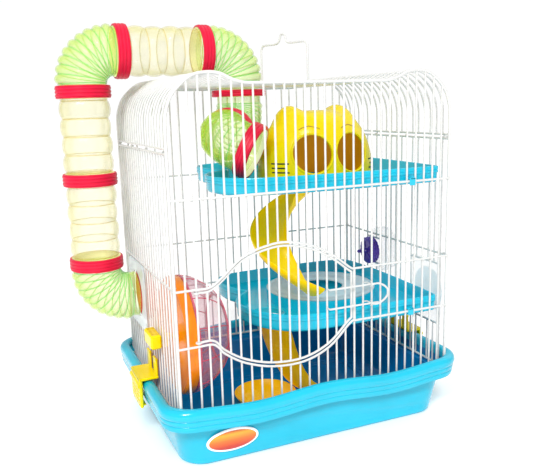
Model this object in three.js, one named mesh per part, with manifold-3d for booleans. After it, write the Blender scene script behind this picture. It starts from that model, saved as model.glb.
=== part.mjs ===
import * as THREE from 'three';
import Module from 'manifold-3d';
import { mergeVertices } from 'three/addons/utils/BufferGeometryUtils.js';

// Two-storey wire hamster cage. Millimetres, +Z up, -Y is the door side.
// The origin is the centre of the tray's underside.

// Wire body
const HALF_W = 145;           // half width between the side panels' wires
const HALF_D = 103;           // half depth between the front and back wires
const WIRE = 1.0;             // thin bar radius
const CROSS = 1.15;           // cross wire radius
const POST = 1.5;             // corner post and edge wire radius
const PITCH_X = 10;           // bar pitch of the front and back
const PITCH_Y = 10.3;         // bar pitch of the sides and the top hoops
const Z_FOOT = 49.5;          // bottom edge wire, inside the tray
const Z_LOW = 119.6;          // cross wire below the door
const Z_MID = 172.6;          // cross wire above the door
const Z_HIGH = 252.8;         // cross wire that carries the upper shelf
const Z_SIDE_TOP = 292.2;     // top edge of both side panels
const Z_SHELL = 296.5;        // lower edge wires of the top shell
const Z_ROOF = 350.0;         // flat middle of the roof

// Tray
const RIM = [163, 117];       // rim outer half size
const RIM_IN = [151, 108.5];  // rim inner half size
const WALL_TOP = [149, 106];  // wall outer half size under the rim
const BASE = [142, 98];       // underside half size
const TRAY_H = 65;
const SKIRT_Z = 43;           // lower edge of the rolled rim's skirt
const TRAY_T = 2.6;           // floor and wall thickness

// Tubes
const TUBE_R = 24;            // outer radius of a plain tube end
const TUBE_T = 1.8;           // tube wall
const RING_IN = 24.8;         // ring bore radius
const RING_OUT = 27.2;        // ring outer radius
const RING_W = 14;            // ring width
const BEND_R = 31;            // elbow centreline radius
const STUB = 8;               // straight stub at each elbow end
const PORT_Y = 42;            // both wall ports lie in this plane
const TOP_PORT_X = -23.5;
const COLUMN_X = -188;        // axis of the outside column
const RUN_Z = 387.5;          // axis of the run over the roof
const PORT_Z = 136.5;         // axis of the side port

// Shelves: underside, floor, rim top
const MID = [112.5, 116.5, 130.5];
const UP = [248.5, 252.5, 265.5];

// Exercise wheel
const WHEEL = { y: -36, z: 110.5, r: 59, x0: -133, x1: -122, x2: -84 };

const wasm = await Module();
wasm.setup();
const V = (x, y, z) => new THREE.Vector3(x, y, z);
const UPV = V(0, 0, 1);

// ---- solids -------------------------------------------------------------
function solid(geometry, matrix) {
  const g = geometry.index ? geometry.toNonIndexed() : geometry.clone();
  for (const name of Object.keys(g.attributes)) if (name !== 'position') g.deleteAttribute(name);
  if (matrix) g.applyMatrix4(matrix);
  const m = mergeVertices(g, 1e-4);
  return new wasm.Manifold(new wasm.Mesh({
    numProp: 3,
    vertProperties: new Float32Array(m.attributes.position.array),
    triVerts: new Uint32Array(m.index.array),
  }));
}

function join(list) {
  let items = list.slice();
  while (items.length > 1) {
    const next = [];
    for (let i = 0; i < items.length; i += 2) {
      next.push(i + 1 < items.length ? items[i].add(items[i + 1]) : items[i]);
    }
    items = next;
  }
  return items[0];
}

function mesh(name, body, material) {
  const out = body.getMesh();
  const g = new THREE.BufferGeometry();
  const position = new Float32Array(out.numVert * 3);
  for (let i = 0; i < out.numVert; i++) {
    for (let k = 0; k < 3; k++) position[3 * i + k] = out.vertProperties[i * out.numProp + k];
  }
  g.setAttribute('position', new THREE.BufferAttribute(position, 3));
  g.setIndex(new THREE.BufferAttribute(new Uint32Array(out.triVerts), 1));
  g.computeVertexNormals();
  const m = new THREE.Mesh(g, material);
  m.name = name;
  return m;
}

function at(x, y, z) { return new THREE.Matrix4().makeTranslation(x, y, z); }
function along(dir, x, y, z) {
  const q = new THREE.Quaternion().setFromUnitVectors(UPV, dir.clone().normalize());
  return new THREE.Matrix4().compose(V(x, y, z), q, V(1, 1, 1));
}
function box(x0, x1, y0, y1, z0, z1) {
  const g = new THREE.BoxGeometry(x1 - x0, y1 - y0, z1 - z0);
  return solid(g, at((x0 + x1) / 2, (y0 + y1) / 2, (z0 + z1) / 2));
}
function rod(p, q, r, n = 4) {
  const d = q.clone().sub(p);
  const g = new THREE.CylinderGeometry(r, r, d.length(), n);
  g.rotateX(Math.PI / 2);
  if (n === 4) g.rotateZ(Math.PI / 4);
  const c = p.clone().add(q).multiplyScalar(0.5);
  return solid(g, along(d, c.x, c.y, c.z));
}
function lathe(profile, n) {
  const g = new THREE.LatheGeometry(profile.map(([r, z]) => new THREE.Vector2(r, z)), n);
  g.rotateX(Math.PI / 2);
  return g;
}
// A ring or dish on the axis through c along d; its profile is [radius, height] pairs.
function turned(profile, n, d, c) { return solid(lathe(profile, n), along(d, c.x, c.y, c.z)); }
function disc(r0, r1, h, n, d, c) {
  const p = [[r0, 0], [r1, 0], [r1, h], [r0, h], [r0, 0]];
  return turned(p, n, d, c);
}
function ngon(r, n) {
  const s = new THREE.Shape();
  for (let i = 0; i < n; i++) {
    const a = (2 * Math.PI * (i + 0.5)) / n;
    if (i) s.lineTo(r * Math.cos(a), r * Math.sin(a)); else s.moveTo(r * Math.cos(a), r * Math.sin(a));
  }
  s.closePath();
  return s;
}
class Track extends THREE.Curve {
  constructor(points) { super(); this.points = points; }
  getPoint(t) {
    const n = this.points.length - 1;
    const i = Math.min(n - 1, Math.floor(t * n + 1e-9));
    return this.points[i].clone().lerp(this.points[i + 1], t * n - i);
  }
  getPointAt(t) { return this.getPoint(t); }
  getTangentAt(t) {
    const n = this.points.length - 1;
    const i = Math.round(t * n);
    const a = this.points[Math.max(0, i - 1)];
    const b = this.points[Math.min(n, i + 1)];
    const u = this.points[i].clone().sub(a);
    const v = b.clone().sub(this.points[i]);
    if (u.length() < 1e-9) return v.normalize();
    if (v.length() < 1e-9) return u.normalize();
    return u.normalize().add(v.normalize()).normalize();
  }
  getSpacedPoints(n) {
    const out = [];
    for (let i = 0; i <= n; i++) out.push(this.getPoint(i / n));
    return out;
  }
}
function sweep(shape, points) {
  const path = new Track(points);
  const g = new THREE.ExtrudeGeometry(shape, { steps: points.length - 1, extrudePath: path });
  return solid(g);
}
function wire(points, r, n = 4) { return sweep(ngon(r, n), points); }

// ---- the cage's outline -------------------------------------------------
// Half of the roof outline: distance in from the side wire, height.
const ROOF = [[0, 292.2], [0.4, 323], [7.5, 341.5], [24, 356.2], [40, 359.5], [54, 356.8], [72, 350]];
function roofLine() {
  const left = ROOF.map(([d, z]) => [-HALF_W + d, z]);
  const right = ROOF.map(([d, z]) => [HALF_W - d, z]).reverse();
  return left.concat(right);
}
function heightAt(line, x) {
  for (let i = 0; i + 1 < line.length; i++) {
    const [x0, z0] = line[i];
    const [x1, z1] = line[i + 1];
    if (x >= x0 && x <= x1 && x1 > x0) return z0 + ((z1 - z0) * (x - x0)) / (x1 - x0);
  }
  return line[0][1];
}
const roofAt = (x) => heightAt(roofLine(), x);
const bar = (x, y, z0, z1, r = WIRE) => rod(V(x, y, z0), V(x, y, z1), r);
const barX = (x0, x1, y, z, r = CROSS) => rod(V(x0, y, z), V(x1, y, z), r);
const barY = (x, y0, y1, z, r = CROSS) => rod(V(x, y0, z), V(x, y1, z), r);

// Door opening: the wires that bound it above and below.
const ABOVE = [[-145, 172.6], [-115, 172.6], [-100.4, 181.1], [-80.1, 197.5], [-54.9, 205.2],
  [-34.3, 205.9], [-8.2, 199], [13.6, 186.6], [30.3, 173.2], [35, 172.6], [145, 172.6]];
const BELOW = [[-145, 119.6], [-113, 119.6], [-101.1, 108.9], [-81.6, 96.6], [-53.3, 87.6],
  [-21, 86.9], [7, 97.6], [30, 118.8], [35, 119.6], [145, 119.6]];
const HINGE_X = -125;
const JAMB_X = 35;
const DOOR_GAP = 3.4;

const across = (line, y) => line.map(([x, z]) => V(x, y, z));

function frontPanel() {
  const y = -HALF_D;
  const parts = [];
  for (let i = 1; i < 29; i++) {
    const x = -HALF_W + PITCH_X * i;
    const open = x > HINGE_X + 1 && x < JAMB_X - 1;
    if (!open) { parts.push(bar(x, y, Z_FOOT, roofAt(x))); continue; }
    parts.push(bar(x, y, Z_FOOT, heightAt(BELOW, x)));
    parts.push(bar(x, y, heightAt(ABOVE, x), roofAt(x)));
  }
  parts.push(bar(JAMB_X, y, Z_LOW, Z_MID, POST));
  parts.push(wire(across(ABOVE, y), CROSS), wire(across(BELOW, y), CROSS));
  parts.push(barX(-HALF_W, HALF_W, y, Z_HIGH));
  return parts.concat(panelEdge(y));
}
function panelEdge(y) {
  const loop = across(roofLine(), y);
  return [bar(-HALF_W, y, Z_FOOT - POST, 293, POST), bar(HALF_W, y, Z_FOOT - POST, 293, POST),
    barX(-HALF_W, HALF_W, y, Z_FOOT), wire(loop, POST, 4)];
}
function backPanel() {
  const y = HALF_D;
  const parts = [];
  for (let i = 1; i < 29; i++) {
    const x = -HALF_W + PITCH_X * i;
    parts.push(bar(x, y, Z_FOOT, roofAt(x)));
  }
  for (const z of [Z_LOW, Z_MID, Z_HIGH]) parts.push(barX(-HALF_W, HALF_W, y, z));
  return parts.concat(panelEdge(y));
}
// A side panel; gaps are [y0, y1, z0, z1] openings framed by its own wires.
function sidePanel(x, gaps) {
  const end = HALF_D - 1.9;
  const parts = [];
  for (let i = -9; i <= 9; i++) {
    const y = PITCH_Y * i;
    const cuts = gaps.filter((g) => y > g[0] + 1 && y < g[1] - 1).sort((a, b) => a[2] - b[2]);
    let z = Z_FOOT;
    for (const g of cuts) { parts.push(bar(x, y, z, g[2])); z = g[3]; }
    parts.push(bar(x, y, z, Z_SIDE_TOP));
  }
  for (const z of [Z_FOOT, Z_MID, Z_SIDE_TOP]) {
    const cut = gaps.find((g) => z > g[2] && z < g[3]);
    if (!cut) { parts.push(barY(x, -end, end, z)); continue; }
    parts.push(barY(x, -end, cut[0], z), barY(x, cut[1], end, z));
  }
  for (const g of gaps) parts.push(barY(x, g[0], g[1], g[2]), barY(x, g[0], g[1], g[3]));
  return parts;
}
const PORT_GAP = [PITCH_Y, 7 * PITCH_Y, PORT_Z - 32, PORT_Z + 32];
const BLANK_GAP = [-9 * PITCH_Y, -4 * PITCH_Y, 95, 161];
const BOTTLE_GAP = [2 * PITCH_Y, 5 * PITCH_Y, 137, 168];

// The roof shell: hoops joined by lengthwise wires, open round the top port.
const SHELL_GAP = [TOP_PORT_X - 33, TOP_PORT_X + 33];
function roofShell() {
  const end = HALF_D - 2.2;
  const line = roofLine().slice(1, -1);
  line.unshift([-HALF_W, Z_SHELL]);
  line.push([HALF_W, Z_SHELL]);
  const parts = [];
  const [g0, g1] = SHELL_GAP;
  for (let i = -9; i <= 9; i++) {
    const y = PITCH_Y * i;
    if (i < 2 || i > 6) { parts.push(wire(across(line, y), WIRE)); continue; }
    const left = line.filter(([x]) => x < g0).concat([[g0, roofAt(g0)]]);
    const right = [[g1, roofAt(g1)]].concat(line.filter(([x]) => x > g1));
    parts.push(wire(across(left, y), WIRE), wire(across(right, y), WIRE));
  }
  const edge = (x, z, r) => rod(V(x, -end, z), V(x, end, z), r);
  parts.push(edge(-HALF_W, Z_SHELL, CROSS), edge(HALF_W, Z_SHELL, CROSS), edge(50, 350, CROSS));
  for (const x of SHELL_GAP) parts.push(rod(V(x, PITCH_Y, roofAt(x)), V(x, 7 * PITCH_Y, roofAt(x)), CROSS));
  return parts;
}

// ---- door ---------------------------------------------------------------
function offsetLine(line, dz, x0, x1) {
  const inner = line.filter(([x]) => x > x0 + 1 && x < x1 - 1).map(([x, z]) => [x, z + dz]);
  const level = line[0][1];
  const reach = (x) => (dz > 0 ? Math.max : Math.min)(level + dz, heightAt(line, x) + dz);
  return [[x0, reach(x0)]].concat(inner, [[x1, reach(x1)]]);
}
const DOOR_LO = offsetLine(BELOW, DOOR_GAP, HINGE_X + 2.6, JAMB_X - 3.2);
const DOOR_HI = offsetLine(ABOVE, -DOOR_GAP, HINGE_X + 2.6, JAMB_X - 3.2);
const GUIDE = { y: -108.9, x0: 5, x1: 59, zs: [155.6, 136.3], r: 0.9 };
function doorParts() {
  const y = -HALF_D;
  const parts = [wire(across(DOOR_LO, y), CROSS), wire(across(DOOR_HI, y), CROSS)];
  for (let x = HINGE_X + 10; x < JAMB_X - 5; x += 10) {
    parts.push(bar(x, y, heightAt(DOOR_LO, x), heightAt(DOOR_HI, x)));
  }
  const edge = JAMB_X - 3.2;
  parts.push(bar(edge, y, heightAt(DOOR_LO, edge), heightAt(DOOR_HI, edge)));
  for (const line of [DOOR_LO, DOOR_HI]) {
    const z = line[0][1];
    parts.push(disc(1.5, 3.1, 1.8, 12, UPV, V(HINGE_X, y, z - 0.9)));
  }
  for (const z of GUIDE.zs) {
    parts.push(barX(GUIDE.x0, GUIDE.x1, GUIDE.y, z, GUIDE.r));
    for (const x of [GUIDE.x0, edge]) parts.push(rod(V(x, y, z), V(x, GUIDE.y, z), 0.8));
  }
  return parts;
}
function doorCatch() {
  const x = 51;
  const y = GUIDE.y;
  const [z1, z0] = GUIDE.zs;
  const parts = [];
  for (const z of [z0, z1]) {
    parts.push(disc(1.3, 3.0, 1.6, 12, V(1, 0, 0), V(x - 0.8, y, z)));
    parts.push(rod(V(x, y + 2.2, z), V(x, y + 9.2, z), 0.8));
    parts.push(rod(V(x + 0.6, y + 8.6, z), V(x - 4, y + 8.6, z), 0.7));
  }
  const m = (z0 + z1) / 2;
  const u = [[x - 0.8, z1], [x + 8, z1], [x + 15, z1 - 4], [x + 18, m], [x + 15, z0 + 4], [x + 8, z0], [x - 0.8, z0]];
  parts.push(wire(u.map(([a, b]) => V(a, y - 2.3, b)), 0.9));
  return parts;
}

// ---- tray ---------------------------------------------------------------
function plan(hx, hy, r, cuts = 8) {
  const s = new THREE.Shape();
  const pts = [];
  const corner = (cx, cy, a0) => {
    for (let i = 0; i <= 4; i++) {
      const a = a0 + (i / 4) * (Math.PI / 2);
      pts.push([cx + r * Math.cos(a), cy + r * Math.sin(a)]);
    }
  };
  const edge = (x0, x1, y) => {
    for (let i = 1; i < cuts; i++) pts.push([x0 + ((x1 - x0) * i) / cuts, y]);
  };
  corner(hx - r, -hy + r, -Math.PI / 2);
  corner(hx - r, hy - r, 0);
  edge(hx - r, -hx + r, hy);
  corner(-hx + r, hy - r, Math.PI / 2);
  corner(-hx + r, -hy + r, Math.PI);
  edge(-hx + r, hx - r, -hy);
  pts.forEach(([x, y], i) => (i ? s.lineTo(x, y) : s.moveTo(x, y)));
  s.closePath();
  return s;
}
// A plan extruded through levels of [half width, half depth, height]; lift moves a point in z.
function tub(levels, r, cuts, lift) {
  const n = levels.length - 1;
  const [bx0, by0] = levels[0];
  const g = new THREE.ExtrudeGeometry(plan(bx0, by0, r, cuts), { depth: n, bevelEnabled: false, steps: n });
  const p = g.attributes.position;
  for (let i = 0; i < p.count; i++) {
    const k = Math.round(p.getZ(i));
    const [hx1, hy1, z] = levels[k];
    const x = (p.getX(i) * hx1) / bx0;
    const y = (p.getY(i) * hy1) / by0;
    p.setXYZ(i, x, y, z + (lift ? lift(x, k) : 0));
  }
  return solid(g);
}
// The rim dips twice along the front and back and rises to the corners.
function wave(x) { return Math.abs(x) < 146 ? -2.2 * (1 - Math.cos((2 * Math.PI * (x - 146)) / 146)) : 0; }
function tray() {
  const t = TRAY_T;
  const wall = tub([[...BASE, 0], [...WALL_TOP, SKIRT_Z + 1]], 24, 2);
  const rim = tub([[160, 114, SKIRT_Z], [...RIM, 59], [158.5, 112.8, TRAY_H]], 28, 16,
    (x, k) => (k ? wave(x) : 0));
  const hollow = tub([[BASE[0] - t, BASE[1] - t, t], [142.3, 100.3, 47]], 22, 2);
  const seat = tub([[...RIM_IN, 46], [...RIM_IN, TRAY_H + 5]], 10, 2);
  const groove = tub([[157.6, 111.6, SKIRT_Z - 2], [160.2, 114.2, 55]], 26, 16, (x, k) => (k ? wave(x) : 0));
  const core = tub([[151.6, 108.6, SKIRT_Z - 3], [153.6, 111, 62]], 8, 2);
  return wall.add(rim).subtract(groove.subtract(core)).subtract(hollow).subtract(seat);
}

// ---- shelves ------------------------------------------------------------
const MID_PLAN = [[136, -98], [138, -90], [138, 82], [129, 94], [-15, 97], [-37, 89], [-47, 72], [-48, 47],
  [-41, 25], [-35, 13], [-47, 1], [-57, -15], [-59, -37], [-53, -59], [-41, -79], [-22, -93], [8, -99],
  [41, -99.5], [90, -99.5], [125, -99]];
const UP_PLAN = [[136, -98], [138, -90], [138, 82], [129, 94], [-35, 96], [-57, 87], [-67, 69], [-68, 45],
  [-61, 23], [-53, 9], [-65, 1], [-81, -11], [-89, -31], [-88, -53], [-79, -73], [-61, -87], [-35, -94],
  [15, -98], [85, -99], [125, -99]];
function outline(points, inset) {
  const c = new THREE.CatmullRomCurve3(points.map(([x, y]) => V(x, y, 0)), true);
  const raw = c.getPoints(points.length * 2).slice(0, -1);
  const n = raw.length;
  return new THREE.Shape(raw.map((p, i) => {
    const d = raw[(i + 1) % n].clone().sub(raw[(i + n - 1) % n]).normalize();
    return new THREE.Vector2(p.x + d.y * inset, p.y - d.x * inset);
  }));
}
function slab(points, inset, z0, z1) {
  const g = new THREE.ExtrudeGeometry(outline(points, inset), { depth: z1 - z0, bevelEnabled: false, steps: 1 });
  return solid(g, at(0, 0, z0));
}
// The outline runs clockwise or not; the inset sign that shrinks it is found by area.
function shrink(points) {
  const area = (s) => Math.abs(THREE.ShapeUtils.area(s.getPoints()));
  return area(outline(points, 1)) < area(outline(points, 0)) ? 1 : -1;
}
function hook(x, side, z) {
  const y = side * HALF_D;
  const s = side;
  const span = (a, b) => [Math.min(y + s * a, y + s * b), Math.max(y + s * a, y + s * b)];
  const [t0, t1] = span(-6.5, 3.6);
  const [d0, d1] = span(1.5, 3.6);
  return [box(x - 3.4, x + 3.4, t0, t1, z + 1.4, z + 3.8), box(x - 3.4, x + 3.4, d0, d1, z - 4, z + 3.8)];
}
function shelf(points, [z0, z1, z2], hooks, wireZ, hole) {
  const k = shrink(points);
  const body = slab(points, 0, z0, z2).subtract(slab(points, 3 * k, z1, z2 + 1));
  const tabs = hooks.flatMap(([x, side]) => hook(x, side, wireZ));
  const cut = turned([[0, 0], [hole.r, 0], [hole.r, 20], [0, 20]], 16, UPV, V(hole.x, hole.y, z0 - 5));
  return join([body, ...tabs]).subtract(cut);
}
const DRUM = { x: 51, y: 0, r: 61 };

// ---- slides -------------------------------------------------------------
// A U-section trough. Its section lies across the path with the open side up.
function trough(points, w, h, t) {
  const rings = points.map((p, i) => {
    const a = points[Math.max(0, i - 1)];
    const b = points[Math.min(points.length - 1, i + 1)];
    const d = b.clone().sub(a).normalize();
    const side = V(d.y, -d.x, 0).normalize();
    const up = side.clone().cross(d).normalize();
    const row = [];
    const put = (s, u) => row.push(p.clone().addScaledVector(side, s).addScaledVector(up, u));
    const R = w / 2;
    for (let k = 0; k <= 6; k++) {
      const q = Math.PI + (Math.PI * k) / 6;
      put(R * Math.cos(q), h * Math.sin(q));
    }
    for (let k = 6; k >= 0; k--) {
      const q = Math.PI + (Math.PI * k) / 6;
      put((R - t) * Math.cos(q), (h - t) * Math.sin(q));
    }
    return row;
  });
  return loft(rings);
}
// Skins rows of equal length, one after another, and closes both ends.
function loft(rings) {
  const n = rings[0].length;
  const ends = [0, rings.length - 1];
  const pos = rings.flat().flatMap((p) => [p.x, p.y, p.z]);
  const idx = [];
  for (let i = 0; i + 1 < rings.length; i++) {
    for (let k = 0; k < n; k++) {
      const a = i * n + k;
      const b = i * n + ((k + 1) % n);
      idx.push(a, b, a + n, b, b + n, a + n);
    }
  }
  for (const e of ends) {
    const half = n / 2;
    for (let k = 0; k + 1 < half; k++) {
      const a = e * n + k;
      const b = e * n + k + 1;
      const c = e * n + n - 1 - k;
      const d = e * n + n - 2 - k;
      const quad = e === 0 ? [a, c, b, b, c, d] : [a, b, c, b, d, c];
      idx.push(...quad);
    }
  }
  const g = new THREE.BufferGeometry();
  g.setAttribute('position', new THREE.BufferAttribute(new Float32Array(pos), 3));
  g.setIndex(idx);
  const s = solid(g);
  if (s.volume() > 0) return s;
  g.setIndex(idx.map((_, i) => idx[i - (i % 3) + [0, 2, 1][i % 3]]));
  return solid(g);
}
function helix(cx, cy, r, a0, a1, z0, z1, n) {
  const out = [];
  for (let i = 0; i <= n; i++) {
    const t = i / n;
    const a = THREE.MathUtils.degToRad(a0 + (a1 - a0) * t);
    out.push(V(cx + r * Math.cos(a), cy + r * Math.sin(a), z0 + (z1 - z0) * t));
  }
  return out;
}
function spline(list, n) { return new THREE.CatmullRomCurve3(list.map((p) => V(...p))).getPoints(n); }

// ---- house --------------------------------------------------------------
const HOUSE = { x: 42, y: -10, w: 65, d: 48, h: 76, z: UP[1] + 0.3 };
function dome(grow, base) {
  const s = [];
  const n = 5;
  for (let i = 0; i <= n; i++) {
    const a = (i / n) * (Math.PI / 2);
    s.push([Math.cos(a) ** 0.62, Math.sin(a) ** 0.95]);
  }
  s[n] = [0, 1];
  const profile = [[0, base], ...s.map(([r, z]) => [r, z === 0 ? base : z])];
  const m = new THREE.Matrix4().compose(V(HOUSE.x, HOUSE.y, HOUSE.z), new THREE.Quaternion(),
    V(HOUSE.w + grow, HOUSE.d + grow, HOUSE.h - 5 + grow));
  return solid(lathe(profile, 16), m);
}
function ear(dx, grow) {
  const g = new THREE.SphereGeometry(1, 10, 6);
  g.rotateX(Math.PI / 2);
  const m = new THREE.Matrix4().compose(V(HOUSE.x + dx, HOUSE.y + 4, HOUSE.z + 46), new THREE.Quaternion(),
    V(17 + grow, 30 + grow, 30.5 + grow));
  return solid(g, m);
}
function house() {
  const outer = join([dome(0, 0), ear(-28, 0), ear(28, 0)]);
  const inner = join([dome(-2.4, -0.1), ear(-28, -2.4), ear(28, -2.4)]);
  const eyes = [-23, 21].map((dx) => rod(V(HOUSE.x + dx, HOUSE.y - 70, HOUSE.z + 28),
    V(HOUSE.x + dx, HOUSE.y, HOUSE.z + 28), 19, 12));
  const keep = box(-200, 200, -200, 200, HOUSE.z, HOUSE.z + 200);
  return outer.subtract(inner).subtract(eyes[0]).subtract(eyes[1]).intersect(keep);
}

// ---- tubes --------------------------------------------------------------
function ring(d, c, r = RING_OUT, w = RING_W) {
  const h = w / 2;
  return turned([[RING_IN, -h], [r - 0.6, -h], [r, 0], [r - 0.6, h], [RING_IN, h], [RING_IN, -h]], 16, d, c);
}
function straight(d, c, length) {
  const h = length / 2;
  const p = [[TUBE_R - TUBE_T, -h], [TUBE_R, -h], [TUBE_R, -h + 8]];
  p.push([TUBE_R + 1.8, -h + 14], [TUBE_R + 1.8, h - 14]);
  p.push([TUBE_R, h - 8], [TUBE_R, h], [TUBE_R - TUBE_T, h], [TUBE_R - TUBE_T, -h]);
  return turned(p, 16, d, c);
}
// An elbow from point p heading a, turning through 90 degrees to heading b.
function elbow(p, a, b, first = STUB) {
  const start = p.clone().addScaledVector(a, first);
  const centre = start.clone().addScaledVector(b, BEND_R);
  const pts = [p.clone().addScaledVector(a, 0.3)];
  const n = 5;
  for (let i = 0; i <= n; i++) {
    const q = (i / n) * (Math.PI / 2);
    pts.push(centre.clone().addScaledVector(b, -BEND_R * Math.cos(q)).addScaledVector(a, BEND_R * Math.sin(q)));
  }
  pts.push(pts[pts.length - 1].clone().addScaledVector(b, STUB - 0.3));
  const s = ngon(TUBE_R - 0.1, 12);
  s.holes.push(new THREE.Path(ngon(TUBE_R - TUBE_T, 12).getPoints().reverse()));
  return { body: sweep(s, pts), end: pts[pts.length - 1].clone().addScaledVector(b, 0.3) };
}

// ---- materials ----------------------------------------------------------
const mat = (color, roughness, metalness = 0, opacity = 1) => new THREE.MeshStandardMaterial(
  { color, roughness, metalness, opacity, transparent: opacity < 1 });
const M = {
  wire: mat(0xf2f2f0, 0.35, 0.1), blue: mat(0x22b8e0, 0.3), yellow: mat(0xf6d90a, 0.3),
  red: mat(0xd4163c, 0.35), green: mat(0xc8f060, 0.15, 0, 0.5), pale: mat(0xf3efb0, 0.15, 0, 0.5),
  orange: mat(0xf98a08, 0.3), clear: mat(0xf0b8c0, 0.1, 0, 0.45), white: mat(0xe6eef0, 0.3, 0, 0.8),
  purple: mat(0x5a3fa8, 0.35), label: mat(0xe8501e, 0.4),
};

// ---- assembly -----------------------------------------------------------
const cage = new THREE.Group();
const add = (name, body, material) => cage.add(mesh(name, body, material));
const X = V(1, 0, 0);
const Y = V(0, 1, 0);
const DOWN = V(0, 0, -1);

add('tray', tray(), M.blue);
add('front_panel', join(frontPanel()), M.wire);
add('back_panel', join(backPanel()), M.wire);
// The left side is made in four parts round its tube port
const leftSide = join(sidePanel(-HALF_W, [PORT_GAP]));
const cutY = [PORT_GAP[0] + 1.3, PORT_GAP[1] - 1.3];
const midZ = (PORT_GAP[2] + PORT_GAP[3]) / 2;
const part = (y0, y1, z0, z1) => leftSide.intersect(box(-HALF_W - 9, -HALF_W + 9, y0, y1, z0, z1));
add('left_panel_front', part(-200, cutY[0] - 0.02, 0, 500), M.wire);
add('left_panel_back', part(cutY[1] + 0.02, 200, 0, 500), M.wire);
add('left_panel_low', part(cutY[0] + 0.02, cutY[1] - 0.02, 0, midZ), M.wire);
add('left_panel_high', part(cutY[0] + 0.02, cutY[1] - 0.02, midZ, 500), M.wire);
add('right_panel', join(sidePanel(HALF_W, [BLANK_GAP, BOTTLE_GAP])), M.wire);
add('roof_shell', join(roofShell()), M.wire);
add('front_door', join(doorParts()), M.wire);
add('door_catch', join(doorCatch()), M.wire);

// Shelves, slides and furniture
add('mid_shelf', join([shelf(MID_PLAN, MID, [[100, -1], [20, 1], [100, 1]], Z_LOW, { x: -30, y: -36, r: 17 }),
  disc(DRUM.r - 2.4, DRUM.r, 11, 28, UPV, V(DRUM.x, DRUM.y, MID[1] - 0.5))]), M.blue);
add('shelf_insert', disc(30, DRUM.r - 0.2, 1.8, 28, UPV, V(DRUM.x, DRUM.y, MID[1] + 10.8)), M.white);
add('upper_shelf', shelf(UP_PLAN, UP, [[100, -1], [0, 1], [100, 1]], Z_HIGH, { x: 40, y: 14, r: 17 }), M.blue);
add('upper_slide', trough(helix(18, -15, 32, 50, 275, 246, 143.5, 12), 41, 13, 2), M.yellow);
add('lower_slide', trough(spline([[-25, -35, 110.5], [-18, -30.5, 97], [-10, -25.5, 76], [-2, -21, 59], [8, -16.5, 42],
  [20, -12, 28], [36, -8, 18.7]], 10), 38, 13, 2), M.yellow);
add('cat_house', house(), M.yellow);
add('food_dish', turned([[0, 0], [27, 0], [35, 11], [33, 11], [25.6, 2], [0, 2]], 24, UPV,
  V(-20, 1, TRAY_T + 0.3)), M.yellow);

// Tubes and rings, from the side port up the column, over the roof and inside
const portSide = V(-HALF_W - 4, PORT_Y, PORT_Z);
const columnFoot = V(COLUMN_X, PORT_Y, PORT_Z + 39);
const bends = {
  elbow_foot: elbow(columnFoot, DOWN, X),
  elbow_corner: elbow(V(COLUMN_X, PORT_Y, RUN_Z - 39), UPV, X),
  elbow_roof: elbow(V(-62.5, PORT_Y, RUN_Z), X, DOWN),
};
for (const [name, e] of Object.entries(bends)) add(name, e.body, M.green);
add('tube_lower', straight(UPV, V(COLUMN_X, PORT_Y, PORT_Z + 39 + 43.25), 85.9), M.pale);
add('tube_upper', straight(UPV, V(COLUMN_X, PORT_Y, PORT_Z + 39 + 129.25), 84.9), M.pale);
add('tube_run', straight(X, V(-105.75, PORT_Y, RUN_Z), 85.9), M.pale);
add('ring_foot', ring(UPV, columnFoot), M.red);
add('ring_mid', ring(UPV, V(COLUMN_X, PORT_Y, PORT_Z + 39 + 86.5)), M.red);
add('ring_head', ring(UPV, V(COLUMN_X, PORT_Y, RUN_Z - 39)), M.red);
add('ring_corner', ring(X, V(-149, PORT_Y, RUN_Z)), M.red);
add('ring_run', ring(X, V(-62.5, PORT_Y, RUN_Z)), M.red);
add('ring_roof_port', ring(UPV, V(TOP_PORT_X, PORT_Y, 343.8), 29.5, 7), M.red);

// Inside run: down from the roof port, out to the front left, round and down towards the house
const h1 = V(-0.610, -0.792, 0).normalize();
const h2 = V(0.7235, -0.557, -0.407);
h2.addScaledVector(h1, -h2.dot(h1)).normalize();
const drop = elbow(V(TOP_PORT_X, PORT_Y, 347.9), DOWN, h1, 15);
add('elbow_drop', drop.body, M.green);
const turn = elbow(drop.end, h1, h2);
add('elbow_mouth', turn.body, M.green);
add('ring_drop', ring(h1, drop.end), M.red);
add('ring_mouth', ring(h2, turn.end.clone().addScaledVector(h2, -2), 28.6), M.red);

// Wall ports
const portRing = ring(X, V(-HALF_W + 5.6, PORT_Y, PORT_Z), 29.5, 9);
add('ring_side_port', portRing, M.red);
const plate = (x, y, z, w, h, r) => box(x - 1, x + 1, y - w / 2, y + w / 2, z - h / 2, z + h / 2)
  .subtract(rod(V(x - 3, y, z), V(x + 3, y, z), r, 20));
add('side_port_plate', plate(-HALF_W - 2.5, PORT_Y, PORT_Z, 72, 74, 24.9), M.white);
add('blank_port_plate', plate(HALF_W + 2.5, -66.9, 128, 56, 70, 22), M.white);
add('blank_port_cover', rod(V(HALF_W + 3.8, -66.9, 128), V(HALF_W + 5.8, -66.9, 128), 25, 18), M.white);

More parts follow.
